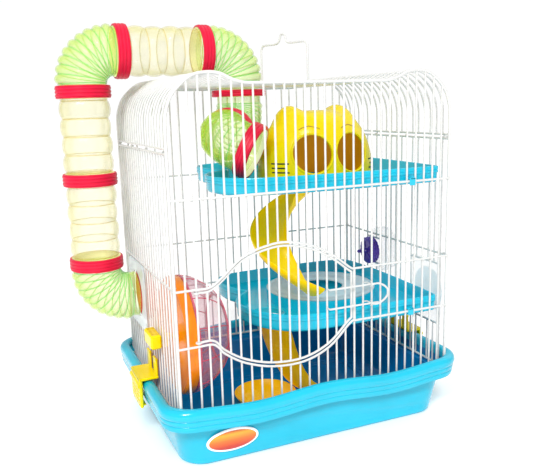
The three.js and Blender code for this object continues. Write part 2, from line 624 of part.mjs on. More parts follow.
// Exercise wheel: fixed clip and axle, turning drum
const wx = (profile, n) => turned(profile, n, X, V(0, WHEEL.y, WHEEL.z));
const clip = join([box(-HALF_W - 12, -HALF_W - 1.4, WHEEL.y - 15, WHEEL.y + 15, WHEEL.z - 7, WHEEL.z + 7),
  box(-HALF_W + 1.4, -HALF_W + 6, WHEEL.y - 12, WHEEL.y + 12, WHEEL.z - 7, WHEEL.z + 7),
  rod(V(-HALF_W - 5, WHEEL.y, WHEEL.z + 0.1), V(-104, WHEEL.y, WHEEL.z + 0.1), 3, 12)]);
add('wheel_clip', clip, M.yellow);
const { r, x0, x1, x2 } = WHEEL;
add('wheel_drum', wx([[4, x0], [r - 4, x0], [r, x0 + 4], [r, x1], [r - 2.2, x1], [r - 2.2, x0 + 5],
  [r - 5, x0 + 2.4], [4, x0 + 2.4], [4, x0]], 24), M.orange);
add('wheel_dome', wx([[r - 0.2, x1 + 0.3], [r - 3, x1 + 14], [r - 12, x1 + 27], [r - 24, x2],
  [r - 25.4, x2 - 1.5], [r - 14, x1 + 25.8], [r - 5.1, x1 + 13.4], [r - 2.4, x1 + 0.3], [r - 0.2, x1 + 0.3]], 24), M.clear);

// Water bottle on the right wall
const bottleAt = V(0, 37, 152.5);
const bx = (profile, n) => turned(profile, n, X, bottleAt);
add('bottle_cap', bx([[0, 122], [2.4, 122], [2.4, 133.5], [15, 133.5], [16.5, 135], [16.5, 143.4], [12.8, 143.4],
  [12.8, 144], [0, 144]], 14), M.purple);
add('bottle_body', bx([[9, 144.3], [13, 144.3], [13, 147.6], [28, 151], [28, 162], [22, 168], [0, 168],
  [0, 166.4], [21, 166.4], [26.4, 161], [26.4, 152.4], [9, 149], [9, 144.3]], 18), M.white);

// Tray latches on the two sides
function latch(s) {
  const y = -13;
  const b = (x0, x1, y0, y1, z0, z1) => box(Math.min(s * x0, s * x1), Math.max(s * x0, s * x1), y0, y1, z0, z1);
  const grip = rod(V(s * 166.5, y - 20, 62), V(s * 166.5, y + 20, 62), 2.8, 8);
  return join([b(164, 167.6, y - 20, y + 20, 38, 69), b(147.4, 167.6, y - 20, y + 20, 66.2, 69.2), grip,
    b(147.4, 149.8, y - 18, y - 7, 66.4, 86), b(147.4, 149.8, y + 7, y + 18, 66.4, 86),
    b(160.5, 167.6, y - 14, y + 14, 38, 40.2)]);
}
add('left_latch', latch(-1), M.yellow);
add('right_latch', latch(1), M.yellow);

// Carry handle, standing up from the roof
const hx = 5;
const hy = -16;
const lean = V(0.35, -0.94, 0).normalize();
const hp = (u, z) => V(hx, hy, z).addScaledVector(lean, u);
add('carry_handle', wire([hp(-33, 352.2), hp(-33, 386), hp(-29, 391), hp(-8, 391.5), hp(-3, 400), hp(1, 400),
  hp(5, 391.5), hp(29, 391), hp(33, 386), hp(33, 352.2)], 1.2), M.wire);

// Oval badge on the front of the tray
const badge = (a, b, t) => {
  const s = new THREE.Shape();
  s.absellipse(0, 0, a, b, 0, 2 * Math.PI);
  const g = new THREE.ExtrudeGeometry(s, { depth: t, bevelEnabled: false, curveSegments: 10 });
  return g;
};
const lean2 = Math.atan2(WALL_TOP[1] - BASE[1], 44);
const badgeM = new THREE.Matrix4().makeRotationX(Math.PI / 2 + lean2);
badgeM.setPosition(-97, -102.6, 23);
add('badge', solid(badge(26, 12.5, 1.2), badgeM), M.label);

export default cage;
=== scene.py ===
import bmesh, bpy, math
from mathutils import Vector, Matrix


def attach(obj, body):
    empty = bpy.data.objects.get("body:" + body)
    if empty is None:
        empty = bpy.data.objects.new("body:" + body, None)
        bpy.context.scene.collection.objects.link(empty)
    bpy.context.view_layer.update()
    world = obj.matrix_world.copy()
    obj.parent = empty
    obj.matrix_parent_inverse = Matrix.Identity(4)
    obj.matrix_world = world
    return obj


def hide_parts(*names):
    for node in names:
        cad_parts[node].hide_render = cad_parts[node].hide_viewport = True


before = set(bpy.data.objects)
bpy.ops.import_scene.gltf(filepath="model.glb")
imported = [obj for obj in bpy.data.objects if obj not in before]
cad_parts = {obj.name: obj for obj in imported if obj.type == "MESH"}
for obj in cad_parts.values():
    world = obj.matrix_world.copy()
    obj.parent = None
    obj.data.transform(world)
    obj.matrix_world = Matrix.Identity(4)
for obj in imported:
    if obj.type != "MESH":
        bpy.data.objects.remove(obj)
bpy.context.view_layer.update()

# All shapes below are written in millimetres in the cage's own frame and scaled on creation.
MM = 0.001
PI = math.pi
sin, cos = math.sin, math.cos


# ---- materials -----------------------------------------------------------
def mat(name, col, rough=0.3, metal=0.0, alpha=1.0, vary=0.05, scale=60.0, bump=0.03, coat=0.0, grain=900.0,
        spec=0.5, ior=1.46):
    m = bpy.data.materials.new(name)
    m.use_nodes = True
    t = m.node_tree
    p = t.nodes["Principled BSDF"]
    new = t.nodes.new
    link = t.links.new
    co = new("ShaderNodeTexCoord")
    n1 = new("ShaderNodeTexNoise")
    n1.inputs["Scale"].default_value = scale
    n1.inputs["Detail"].default_value = 3.0
    link(co.outputs["Object"], n1.inputs["Vector"])
    ramp = new("ShaderNodeValToRGB")
    lo = [max(0.0, c * (1 - vary)) for c in col]
    hi = [min(1.0, c * (1 + vary)) for c in col]
    ramp.color_ramp.elements[0].color = (*lo, 1)
    ramp.color_ramp.elements[1].color = (*hi, 1)
    ramp.color_ramp.elements[0].position = 0.3
    ramp.color_ramp.elements[1].position = 0.7
    link(n1.outputs["Fac"], ramp.inputs["Fac"])
    link(ramp.outputs["Color"], p.inputs["Base Color"])
    rr = new("ShaderNodeMapRange")
    rr.inputs["To Min"].default_value = max(0.02, rough * 0.8)
    rr.inputs["To Max"].default_value = rough * 1.25
    link(n1.outputs["Fac"], rr.inputs["Value"])
    link(rr.outputs["Result"], p.inputs["Roughness"])
    n2 = new("ShaderNodeTexNoise")
    n2.inputs["Scale"].default_value = grain
    n2.inputs["Detail"].default_value = 2.0
    link(co.outputs["Object"], n2.inputs["Vector"])
    b = new("ShaderNodeBump")
    b.inputs["Strength"].default_value = bump
    b.inputs["Distance"].default_value = 0.0006
    link(n2.outputs["Fac"], b.inputs["Height"])
    link(b.outputs["Normal"], p.inputs["Normal"])
    p.inputs["Metallic"].default_value = metal
    p.inputs["Alpha"].default_value = alpha
    p.inputs["Coat Weight"].default_value = coat
    p.inputs["Coat Roughness"].default_value = 0.08
    p.inputs["Specular IOR Level"].default_value = spec
    p.inputs["IOR"].default_value = ior
    return m


# Painted light: gives a surface that is no lamp a glow.
def lit(m, col, strength):
    p = m.node_tree.nodes["Principled BSDF"]
    p.inputs["Emission Color"].default_value = (*col, 1)
    p.inputs["Emission Strength"].default_value = strength
    return m


def soften(m, weight, scale):
    p = m.node_tree.nodes["Principled BSDF"]
    p.inputs["Subsurface Weight"].default_value = weight
    p.inputs["Subsurface Radius"].default_value = (1.0, 0.72, 0.12)
    p.inputs["Subsurface Scale"].default_value = scale
    return m


def clear(name, col, face, edge, **k):
    m = mat(name, col, **k)
    t = m.node_tree
    lw = t.nodes.new("ShaderNodeLayerWeight")
    lw.inputs["Blend"].default_value = 0.35
    pw = t.nodes.new("ShaderNodeMath")
    pw.operation = "POWER"
    pw.inputs[1].default_value = 1.6
    mr = t.nodes.new("ShaderNodeMapRange")
    mr.inputs["To Min"].default_value = face
    mr.inputs["To Max"].default_value = edge
    t.links.new(lw.outputs["Facing"], pw.inputs[0])
    t.links.new(pw.outputs[0], mr.inputs["Value"])
    t.links.new(mr.outputs["Result"], t.nodes["Principled BSDF"].inputs["Alpha"])
    return m


WHITE = mat("white_paint", (0.70, 0.70, 0.685), 0.28, vary=0.03, scale=200, bump=0.06, coat=0.3)
BLUE = mat("blue_plastic", (0.006, 0.50, 0.69), 0.18, vary=0.05, scale=25, bump=0.05, coat=0.25)
# Painted shade: a darker copy of the blue plastic for the tray's inner wall and floor.
SHADED_BLUE = mat("blue_painted_shade", (0.001, 0.21, 0.50), 0.2, vary=0.08, scale=25, bump=0.05, coat=0.2)
YELLOW = soften(mat("yellow_plastic", (0.88, 0.69, 0.0), 0.2, vary=0.03, scale=30, bump=0.04, coat=0.05, spec=0.3),
                0.2, 0.004)
# Painted light: the upper slide's yellow glows a little so its shaded side stays bright.
SLIDE_GLOW = lit(mat("yellow_slide_painted_glow", (1.0, 0.66, 0.0), 0.24, vary=0.03, scale=30, bump=0.04, coat=0.06, spec=0.35),
            (1.0, 0.60, 0.0), 0.17)
# Painted light: this deeper yellow for the lower slide and the dish glows a little so shaded sides stay bright.
GOLD_GLOW = lit(mat("deep_yellow_painted_glow", (1.0, 0.54, 0.0), 0.26, vary=0.05, scale=30, bump=0.04, coat=0.06, spec=0.35),
           (1.0, 0.52, 0.0), 0.14)
# Painted shade and painted light: a darker orange copy of the house yellow for its inner shell, which also glows a
# little.
HOUSE_INSIDE_SHADE_GLOW = lit(mat("yellow_inside_painted_shade_glow", (0.74, 0.36, 0.0), 0.4, vary=0.08, scale=30), (0.80, 0.34, 0.0), 0.20)
RED = mat("crimson_plastic", (0.70, 0.006, 0.045), 0.36, vary=0.08, scale=60, bump=0.10, spec=0.35)
GREEN = clear("green_clear", (0.66, 0.90, 0.04), 0.16, 0.70, rough=0.08, vary=0.10, scale=40, bump=0.03, coat=0.6)
PALE = clear("pale_clear", (0.82, 0.76, 0.20), 0.095, 0.62, rough=0.08, vary=0.08, scale=40, bump=0.03, coat=0.6)
# Painted shade: darker edge lines for the pinches of the clear elbows, where the folds are seen edge-on.
PINCH_GREEN_SHADE = mat("green_painted_pinch_shade", (0.16, 0.88, 0.16), 0.15, alpha=0.6, vary=0.10, scale=60, coat=0.5)
# Painted shade: darker edge rings for the pinches of the clear straight tubes.
PINCH_AMBER_SHADE = mat("amber_painted_pinch_shade", (0.88, 0.66, 0.05), 0.15, alpha=0.38, vary=0.08, scale=60, coat=0.5)
ORANGE = mat("orange_plastic", (0.98, 0.25, 0.0), 0.2, vary=0.06, scale=30, bump=0.05, coat=0.3, spec=0.4)
PINK = clear("pink_clear", (0.90, 0.36, 0.46), 0.12, 0.6, rough=0.10, vary=0.08, scale=40, coat=0.6)
PINKRIB = mat("pink_rib", (0.82, 0.10, 0.18), 0.15, alpha=0.65, vary=0.08, scale=60, coat=0.4)
FROST = clear("frosted_white", (0.80, 0.90, 0.94), 0.42, 0.8, rough=0.22, vary=0.04, scale=60, coat=0.3)
# Painted light: this milky white glows so the port cover and the badge rim stay bright in shade.
MILK_GLOW = lit(mat("milk_white_painted_glow", (0.93, 0.94, 0.94), 0.3, alpha=0.95, vary=0.03, scale=60, coat=0.2), (1, 1, 1), 0.22)
# Painted shade: near-black for the whisker slots, standing in for the shade inside them.
SLOT_SHADE = mat("slot_painted_shade", (0.02, 0.035, 0.01), 0.6, vary=0.2, scale=60)
GLASS = clear("bottle_clear", (0.90, 0.92, 0.95), 0.04, 0.5, rough=0.08, vary=0.04, scale=60, coat=0.6)
PURPLE = mat("purple_plastic", (0.10, 0.035, 0.40), 0.28, vary=0.10, scale=60, bump=0.06, coat=0.15)
# Painted light: a pale yellow that glows, for the inner faces of the rings, which would be in shade.
RING_GLOW = lit(mat("ring_inside_painted_glow", (0.84, 0.80, 0.50), 0.4, vary=0.05, scale=60), (0.92, 0.88, 0.62), 0.30)
PLATE = clear("plate_clear", (0.93, 0.95, 0.96), 0.10, 0.42, rough=0.2, vary=0.03, scale=60, coat=0.3)
# Painted shade: dark brown for the engraved brow lines, standing in for the shade in the grooves.
BROW_SHADE = mat("brow_painted_shade", (0.42, 0.22, 0.004), 0.5, vary=0.1, scale=60)


def badge_mat():
    m = mat("badge_print", (0.85, 0.10, 0.01), 0.3, coat=0.5)
    t = m.node_tree
    p = t.nodes["Principled BSDF"]
    co = t.nodes.new("ShaderNodeTexCoord")
    sep = t.nodes.new("ShaderNodeSeparateXYZ")
    mr = t.nodes.new("ShaderNodeMapRange")
    mr.inputs["From Min"].default_value = 0.010
    mr.inputs["From Max"].default_value = 0.036
    ramp = t.nodes.new("ShaderNodeValToRGB")
    ramp.color_ramp.elements[0].color = (0.50, 0.006, 0.004, 1)
    ramp.color_ramp.elements[1].color = (0.58, 0.012, 0.004, 1)
    for at, col in ((0.22, (0.62, 0.03, 0.006)), (0.5, (0.90, 0.17, 0.012)), (0.74, (0.96, 0.42, 0.02)),
                    (0.9, (0.80, 0.06, 0.01))):
        ramp.color_ramp.elements.new(at).color = (*col, 1)
    t.links.new(co.outputs["Object"], sep.inputs["Vector"])
    t.links.new(sep.outputs["Z"], mr.inputs["Value"])
    t.links.new(mr.outputs["Result"], ramp.inputs["Fac"])
    t.links.new(ramp.outputs["Color"], p.inputs["Base Color"])
    return m


# ---- mesh helpers --------------------------------------------------------
def make(name, parts, body="cage", stands=(), angle=40):
    """parts is a list of (verts, faces, material)."""
    verts, faces, idx, mats = [], [], [], []
    for v, f, m in parts:
        if m not in mats:
            mats.append(m)
        k = len(verts)
        verts += [(a * MM, b * MM, c * MM) for a, b, c in v]
        faces += [tuple(i + k for i in q) for q in f]
        idx += [mats.index(m)] * len(f)
    me = bpy.data.meshes.new(name)
    me.from_pydata(verts, [], faces)
    for m in mats:
        me.materials.append(m)
    me.polygons.foreach_set("material_index", idx)
    me.polygons.foreach_set("use_smooth", [True] * len(faces))
    me.update()
    me.set_sharp_from_angle(angle=math.radians(angle))
    o = bpy.data.objects.new(name, me)
    bpy.context.scene.collection.objects.link(o)
    if body:
        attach(o, body)
    if stands:
        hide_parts(*stands)
    return o


def frames(pts):
    """Tangent, side and up at each point, carried along without twist."""
    out = []
    side = None
    n = len(pts)
    for i, p in enumerate(pts):
        a = (p - pts[i - 1]).normalized() if i else (pts[1] - p).normalized()
        b = (pts[i + 1] - p).normalized() if i < n - 1 else a
        t = (a + b).normalized()
        if side is None:
            ref = Vector((0, 0, 1)) if abs(t.z) < 0.9 else Vector((1, 0, 0))
            side = t.cross(ref).normalized()
        side = (side - t * side.dot(t)).normalized()
        out.append((t, side, t.cross(side), max(0.6, a.dot(b) ** 0.5 if a.dot(b) > 0 else 0.6)))
    return out


def tube(path, r, n=8, mat_=None, wobble=None):
    pts = [Vector(p) for p in path]
    fr = frames(pts)
    v, f = [], []
    for i, p in enumerate(pts):
        _, s, u, _ = fr[i]
        for k in range(n):
            a = 2 * PI * k / n
            q = r if wobble is None else wobble(i, a)
            v.append(p + s * (q * cos(a)) + u * (q * sin(a)))
    m = len(pts)
    for i in range(m - 1):
        for k in range(n):
            a, b = i * n + k, i * n + (k + 1) % n
            f.append((a, b, b + n, a + n))
    f.append(tuple(range(n - 1, -1, -1)))
    f.append(tuple((m - 1) * n + k for k in range(n)))
    return [tuple(x) for x in v], f, mat_


def lathe(profile, n, at, d=(0, 0, 1), mat_=None, wobble=None):
    """profile: closed list of (radius, height) about the axis d through at; radius 0 ends close it."""
    d = Vector(d).normalized()
    ref = Vector((0, 0, 1)) if abs(d.z) < 0.9 else Vector((1, 0, 0))
    s = d.cross(ref).normalized()
    u = d.cross(s)
    c = Vector(at)
    v, f = [], []
    m = len(profile)
    for i, (r, h) in enumerate(profile):
        for k in range(n):
            a = 2 * PI * k / n
            q = r if wobble is None else wobble(r, h, a)
            v.append(tuple(c + d * h + s * (q * cos(a)) + u * (q * sin(a))))
    ring = profile[0] == profile[-1]
    if ring:
        v = v[:(m - 1) * n]
        m -= 1
    for i in range(m if ring else m - 1):
        j = (i + 1) % m
        if profile[i][0] == 0 and profile[j][0] == 0:
            continue
        for k in range(n):
            a, b = i * n + k, i * n + (k + 1) % n
            c2, d2 = j * n + (k + 1) % n, j * n + k
            if profile[i][0] == 0:
                f.append((a, c2, d2))
            elif profile[j][0] == 0:
                f.append((a, b, d2))
            else:
                f.append((a, b, c2, d2))
    return v, f, mat_


def box(x0, x1, y0, y1, z0, z1, m, bevel=0.5):
    """A box with softened edges."""
    b = min(bevel, (x1 - x0) / 3, (y1 - y0) / 3, (z1 - z0) / 3)
    v, f = [], []
    xs, ys, zs = (x0, x1), (y0, y1), (z0, z1)
    idx = {}
    for i in (0, 1):
        for j in (0, 1):
            for k in (0, 1):
                sx, sy, sz = 1 - 2 * i, 1 - 2 * j, 1 - 2 * k
                p = (xs[i], ys[j], zs[k])
                idx[i, j, k] = len(v)
                v += [(p[0], p[1] + sy * b, p[2] + sz * b), (p[0] + sx * b, p[1], p[2] + sz * b),
                      (p[0] + sx * b, p[1] + sy * b, p[2])]
    for a in (0, 1):
        for ax in range(3):
            o = [c for c in range(3) if c != ax]
            q = []
            for s, t in ((0, 0), (1, 0), (1, 1), (0, 1)):
                key = [0, 0, 0]
                key[ax], key[o[0]], key[o[1]] = a, s, t
                q.append(idx[tuple(key)] + ax)
            f.append(tuple(q if (a == 1) != (ax == 1) else q[::-1]))
    for ax in range(3):
        o = [c for c in range(3) if c != ax]
        for s in (0, 1):
            for t in (0, 1):
                k0, k1 = [0, 0, 0], [0, 0, 0]
                k0[o[0]] = k1[o[0]] = s
                k0[o[1]] = k1[o[1]] = t
                k1[ax] = 1
                a, c = idx[tuple(k0)], idx[tuple(k1)]
                q = (a + o[0], a + o[1], c + o[1], c + o[0])
                f.append(q if ((s + t) % 2 == 0) == (ax == 1) else q[::-1])
    for i in (0, 1):
        for j in (0, 1):
            for k in (0, 1):
                a = idx[i, j, k]
                f.append((a, a + 1, a + 2) if (i + j + k) % 2 else (a, a + 2, a + 1))
    return v, f, m


def catmull(pts, per=6, closed=False):
    n = len(pts)
    out = []
    seg = n if closed else n - 1
    for i in range(seg):
        g = [pts[(i + k) % n] if closed else pts[min(n - 1, max(0, i + k))] for k in (-1, 0, 1, 2)]
        for j in range(per):
            t = j / per
            out.append(tuple(0.5 * (2 * b + (c - a) * t + (2 * a - 5 * b + 4 * c - d) * t * t
                                    + (3 * b - a - 3 * c + d) * t ** 3) for a, b, c, d in zip(*g)))
    if not closed:
        out.append(tuple(pts[-1]))
    return out


def loft(rings, m, close_ends=True):
    n = len(rings[0])
    v = [tuple(p) for r in rings for p in r]
    f = []
    for i in range(len(rings) - 1):
        for k in range(n):
            a, b = i * n + k, i * n + (k + 1) % n
            f.append((a, b, b + n, a + n))
    if close_ends:
        f.append(tuple(range(n - 1, -1, -1)))
        f.append(tuple((len(rings) - 1) * n + k for k in range(n)))
    return v, f, m


# ---- wires ---------------------------------------------------------------
W, D = 145.0, 103.0
FOOT, LOW, MIDZ, HIGH, SIDE, SHELL = 49.5, 119.6, 172.6, 252.8, 292.2, 296.5
HALF = [(0, 292), (0, 312.5), (1, 325.5), (5.5, 338.5), (13, 347.8), (25, 356.8), (38, 359.3), (50, 358.2),
        (60, 353.6), (70, 350.6), (80, 350)]
half = catmull(HALF, 5)
ROOF = [(-W + d, z) for d, z in half] + [(W - d, z) for d, z in reversed(half)]
ABOVE = [(-145, 172.6), (-125, 172.6), (-115, 172.6), (-108, 175.6), (-100.4, 181.1), (-80.1, 197.5), (-54.9, 205.2),
         (-34.3, 205.9), (-8.2, 199), (13.6, 186.6), (30.3, 173.8), (37, 172.6), (60, 172.6), (145, 172.6)]
BELOW = [(-145, 119.6), (-125, 119.8), (-113, 119.8), (-107, 116), (-101.1, 108.9), (-81.6, 96.6), (-53.3, 88),
         (-21, 87.2), (7, 97.6), (29.5, 117.8), (37, 119.6), (60, 119.6), (145, 119.6)]
above, below = catmull(ABOVE, 5), catmull(BELOW, 5)


def zat(line, x):
    for (x0, z0), (x1, z1) in zip(line, line[1:]):
        if x0 <= x <= x1 and x1 > x0:
            return z0 + (z1 - z0) * (x - x0) / (x1 - x0)
    return line[0][1]


def bar(x, y, z0, z1, r=1.0):
    return tube([(x, y, z0), (x, y, z1)], r, 8, WHITE)


def run(p, q, r=1.0):
    return tube([p, q], r, 8, WHITE)


def panel_edge(y):
    loop = [(x, y, z) for x, z in ROOF]
    path = [(-W, y, FOOT - 1.2)] + loop + [(W, y, FOOT - 1.2)]
    return [tube(path, 1.5, 10, WHITE), run((-W, y, FOOT), (W, y, FOOT), 1.15)]


def front_panel():
    y = -D
    parts = panel_edge(y)
    for i in range(1, 29):
        x = -W + 10 * i
        if -124 < x < 34:
            parts += [bar(x, y, FOOT, zat(below, x)), bar(x, y, zat(above, x), zat(ROOF, x))]
        else:
            parts.append(bar(x, y, FOOT, zat(ROOF, x)))
    parts.append(bar(35, y, LOW, MIDZ, 1.5))
    f = y - 1.2
    for line in (above, below):
        parts.append(tube([(x, f, z) for x, z in line], 1.1, 8, WHITE))
    parts.append(run((-W, f, HIGH), (W, f, HIGH), 1.1))
    return parts


def back_panel():
    y = D
    parts = panel_edge(y)
    for i in range(1, 29):
        parts.append(bar(-W + 10 * i, y, FOOT, zat(ROOF, -W + 10 * i)))
    for z in (LOW, MIDZ, HIGH):
        parts.append(run((-W, y + 1.0, z), (W, y + 1.0, z), 1.0))
    return parts


def side_panel(x, gaps):
    s = 1 if x > 0 else -1
    parts = []
    for i in range(-9, 10):
        y = 10.3 * i
        z = FOOT
        for g in sorted((g for g in gaps if g[0] + 1 < y < g[1] - 1), key=lambda g: g[2]):
            parts.append(bar(x, y, z, g[2]))
            z = g[3]
        parts.append(bar(x, y, z, SIDE))
    e = D - 1.9
    for z in (FOOT, MIDZ, SIDE):
        cuts = [g for g in gaps if g[2] < z < g[3]]
        ys = [-e] + [v for g in cuts for v in g[:2]] + [e]
        for a, b in zip(ys[::2], ys[1::2]):
            parts.append(run((x + s * 0.3, a, z), (x + s * 0.3, b, z), 1.15))
    for g in gaps:
        for z in g[2:]:
            parts.append(run((x, g[0], z), (x, g[1], z), 1.1))
    # small loops that tie the side to the front and back posts
    for sy in (-1, 1):
        for z in (MIDZ, SIDE):
            c = [(x - s * 2.4, sy * (D - 4.2), z + 2.6), (x, sy * (D - 2.3), z + 2.2), (x, sy * (D - 3.4), z)]
            parts.append(tube(catmull(c, 4), 0.8, 6, WHITE))
    return parts


def roof_shell():
    e = D - 2.2
    parts = []
    g0, g1 = -56.5, 9.5
    left = [(-W, SHELL)] + [(x, z) for x, z in ROOF if z > 300]
    line = left + [(W, SHELL)]
    for i in range(-9, 10):
        y = 10.3 * i
        if i < 2 or i > 6:
            parts.append(tube([(x, y, z) for x, z in line], 1.0, 7, WHITE))
            continue
        a = [(x, y, z) for x, z in line if x < g0] + [(g0, y, zat(ROOF, g0))]
        b = [(g1, y, zat(ROOF, g1))] + [(x, y, z) for x, z in line if x > g1]
        parts += [tube(a, 1.0, 7, WHITE), tube(b, 1.0, 7, WHITE)]
    for x, z, r in ((-W, SHELL, 1.15), (W, SHELL, 1.15), (50, 350, 1.1)):
        parts.append(run((x, -e, z), (x, e, z), r))
    for x in (g0, g1):
        parts.append(run((x, 10.3, zat(ROOF, x)), (x, 72.1, zat(ROOF, x)), 1.1))
    # hooks that clip the shell to the side panels
    for s in (-1, 1):
        for y in (-e + 6, -31, 31, e - 6):
            c = [(s * W, y, SHELL), (s * (W + 1.2), y + 1, SHELL - 2.2), (s * (W - 1.4), y + 2, SHELL - 2.6)]
            parts.append(tube(catmull(c, 4), 0.8, 6, WHITE))
    return parts


GUIDE_Y, GZ = -108.9, (136.3, 155.6)


def door():
    y = -D
    x0, x1 = -125 + 2.2, 35 - 3.2
    lo = [(x, z + 3.4) for x, z in below if x0 + 1 < x < x1 - 0.5]
    hi = [(x, z - 3.4) for x, z in above if x0 + 1 < x < x1 - 0.5]
    lo = [(x0, LOW + 3.4)] + lo + [(x1, max(LOW + 3, zat(below, x1) + 3.4))]
    hi = [(x0, MIDZ - 3.4)] + hi + [(x1, min(MIDZ - 3, zat(above, x1) - 3.4))]
    parts = []
    for line in (lo, hi):
        z = line[0][1]
        parts.append(tube([(x, y, z2) for x, z2 in line], 1.15, 8, WHITE))
        loop = [(-125 + 2.3 * cos(a), y + 2.3 * sin(a), z) for a in [PI * 2 * k / 14 for k in range(13)]]
        parts.append(tube(loop, 0.85, 7, WHITE))
    k = -115
    while k < 30:
        parts.append(bar(k, y, zat(lo, k), zat(hi, k)))
        k += 10
    parts.append(bar(x1, y, lo[-1][1], hi[-1][1], 1.15))
    for z in GZ:
        parts.append(run((5, GUIDE_Y, z), (59, GUIDE_Y, z), 0.95))
        for x in (5, x1):
            parts.append(run((x, y, z), (x, GUIDE_Y, z), 0.8))
    return parts


def catch():
    x, y = 51, GUIDE_Y
    z0, z1 = GZ
    parts = []
    for z in GZ:
        loop = [(x + 0.12 * k, y + 2.15 * sin(2 * PI * k / 12), z + 2.15 * cos(2 * PI * k / 12)) for k in range(-6, 7)]
        parts.append(tube(loop, 0.8, 7, WHITE))
        parts.append(tube(catmull([(x, y + 2.2, z), (x, y + 7.8, z), (x - 0.8, y + 8.6, z), (x - 4, y + 8.6, z)], 4),
                          0.7, 7, WHITE))
    m = (z0 + z1) / 2
    u = [(x - 0.8, z1), (x + 6, z1 + 0.6), (x + 13, z1 - 2.4), (x + 17, z1 - 6.4), (x + 17.4, m), (x + 17, z0 + 6.4),
         (x + 13, z0 + 2.4), (x + 6, z0 - 0.6), (x - 0.8, z0)]
    parts.append(tube([(a, y - 2.2, b) for a, b in catmull(u, 5)], 1.0, 8, WHITE))
    return parts


make("wire_front", front_panel(), stands=["front_panel"])
make("wire_back", back_panel(), stands=["back_panel"])
make("wire_left", side_panel(-W, [(10.3, 72.1, 104.5, 168.5)]), 
     stands=["left_panel_front", "left_panel_back", "left_panel_low", "left_panel_high"])
make("wire_right", side_panel(W, [(-92.7, -41.2, 95, 161), (20.6, 51.5, 137, 168)]), stands=["right_panel"])
make("wire_roof", roof_shell(), stands=["roof_shell"])
make("door_wires", door(), "door", ["front_door"])
make("door_catch_wire", catch(), "catch", ["door_catch"])

lean = Vector((0.35, -0.94, 0)).normalized()
hp = [(-33, 352.3), (-33, 383), (-32, 388.5), (-28, 391), (-9, 391.6), (-4, 399.2), (-1, 400.2), (2, 399.2),
      (6, 391.6), (27, 391), (32, 388.5), (33, 383), (33, 352.3)]
hpath = [tuple(Vector((5, -16, z)) + lean * u) for u, z in catmull(hp, 4)]
make("handle_wire", [tube(hpath, 1.15, 8, WHITE)], "handle", ["carry_handle"])


# ---- tray ----------------------------------------------------------------
def plan(hx, hy, r, n_edge=40, n_cor=12):
    pts = []
    for cx, cy, a0, nx in ((1, -1, -PI / 2, 0), (1, 1, 0, 1), (-1, 1, PI / 2, 2), (-1, -1, PI, 3)):
        for i in range(n_cor + 1):
            a = a0 + PI / 2 * i / n_cor
            pts.append((cx * (hx - r) + r * cos(a), cy * (hy - r) + r * sin(a)))
        nxt = [(1, 1), (-1, 1), (-1, -1), (1, -1)][nx]
        a = a0 + PI / 2
        q = (nxt[0] * (hx - r) + r * cos(a), nxt[1] * (hy - r) + r * sin(a))
        p = pts[-1]
        for i in range(1, n_edge):
            t = i / n_edge
            pts.append((p[0] + (q[0] - p[0]) * t, p[1] + (q[1] - p[1]) * t))
    return pts


def wave(x):
    return -2.2 * (1 - cos(2 * PI * (x - 146) / 146)) if abs(x) < 146 else 0.0


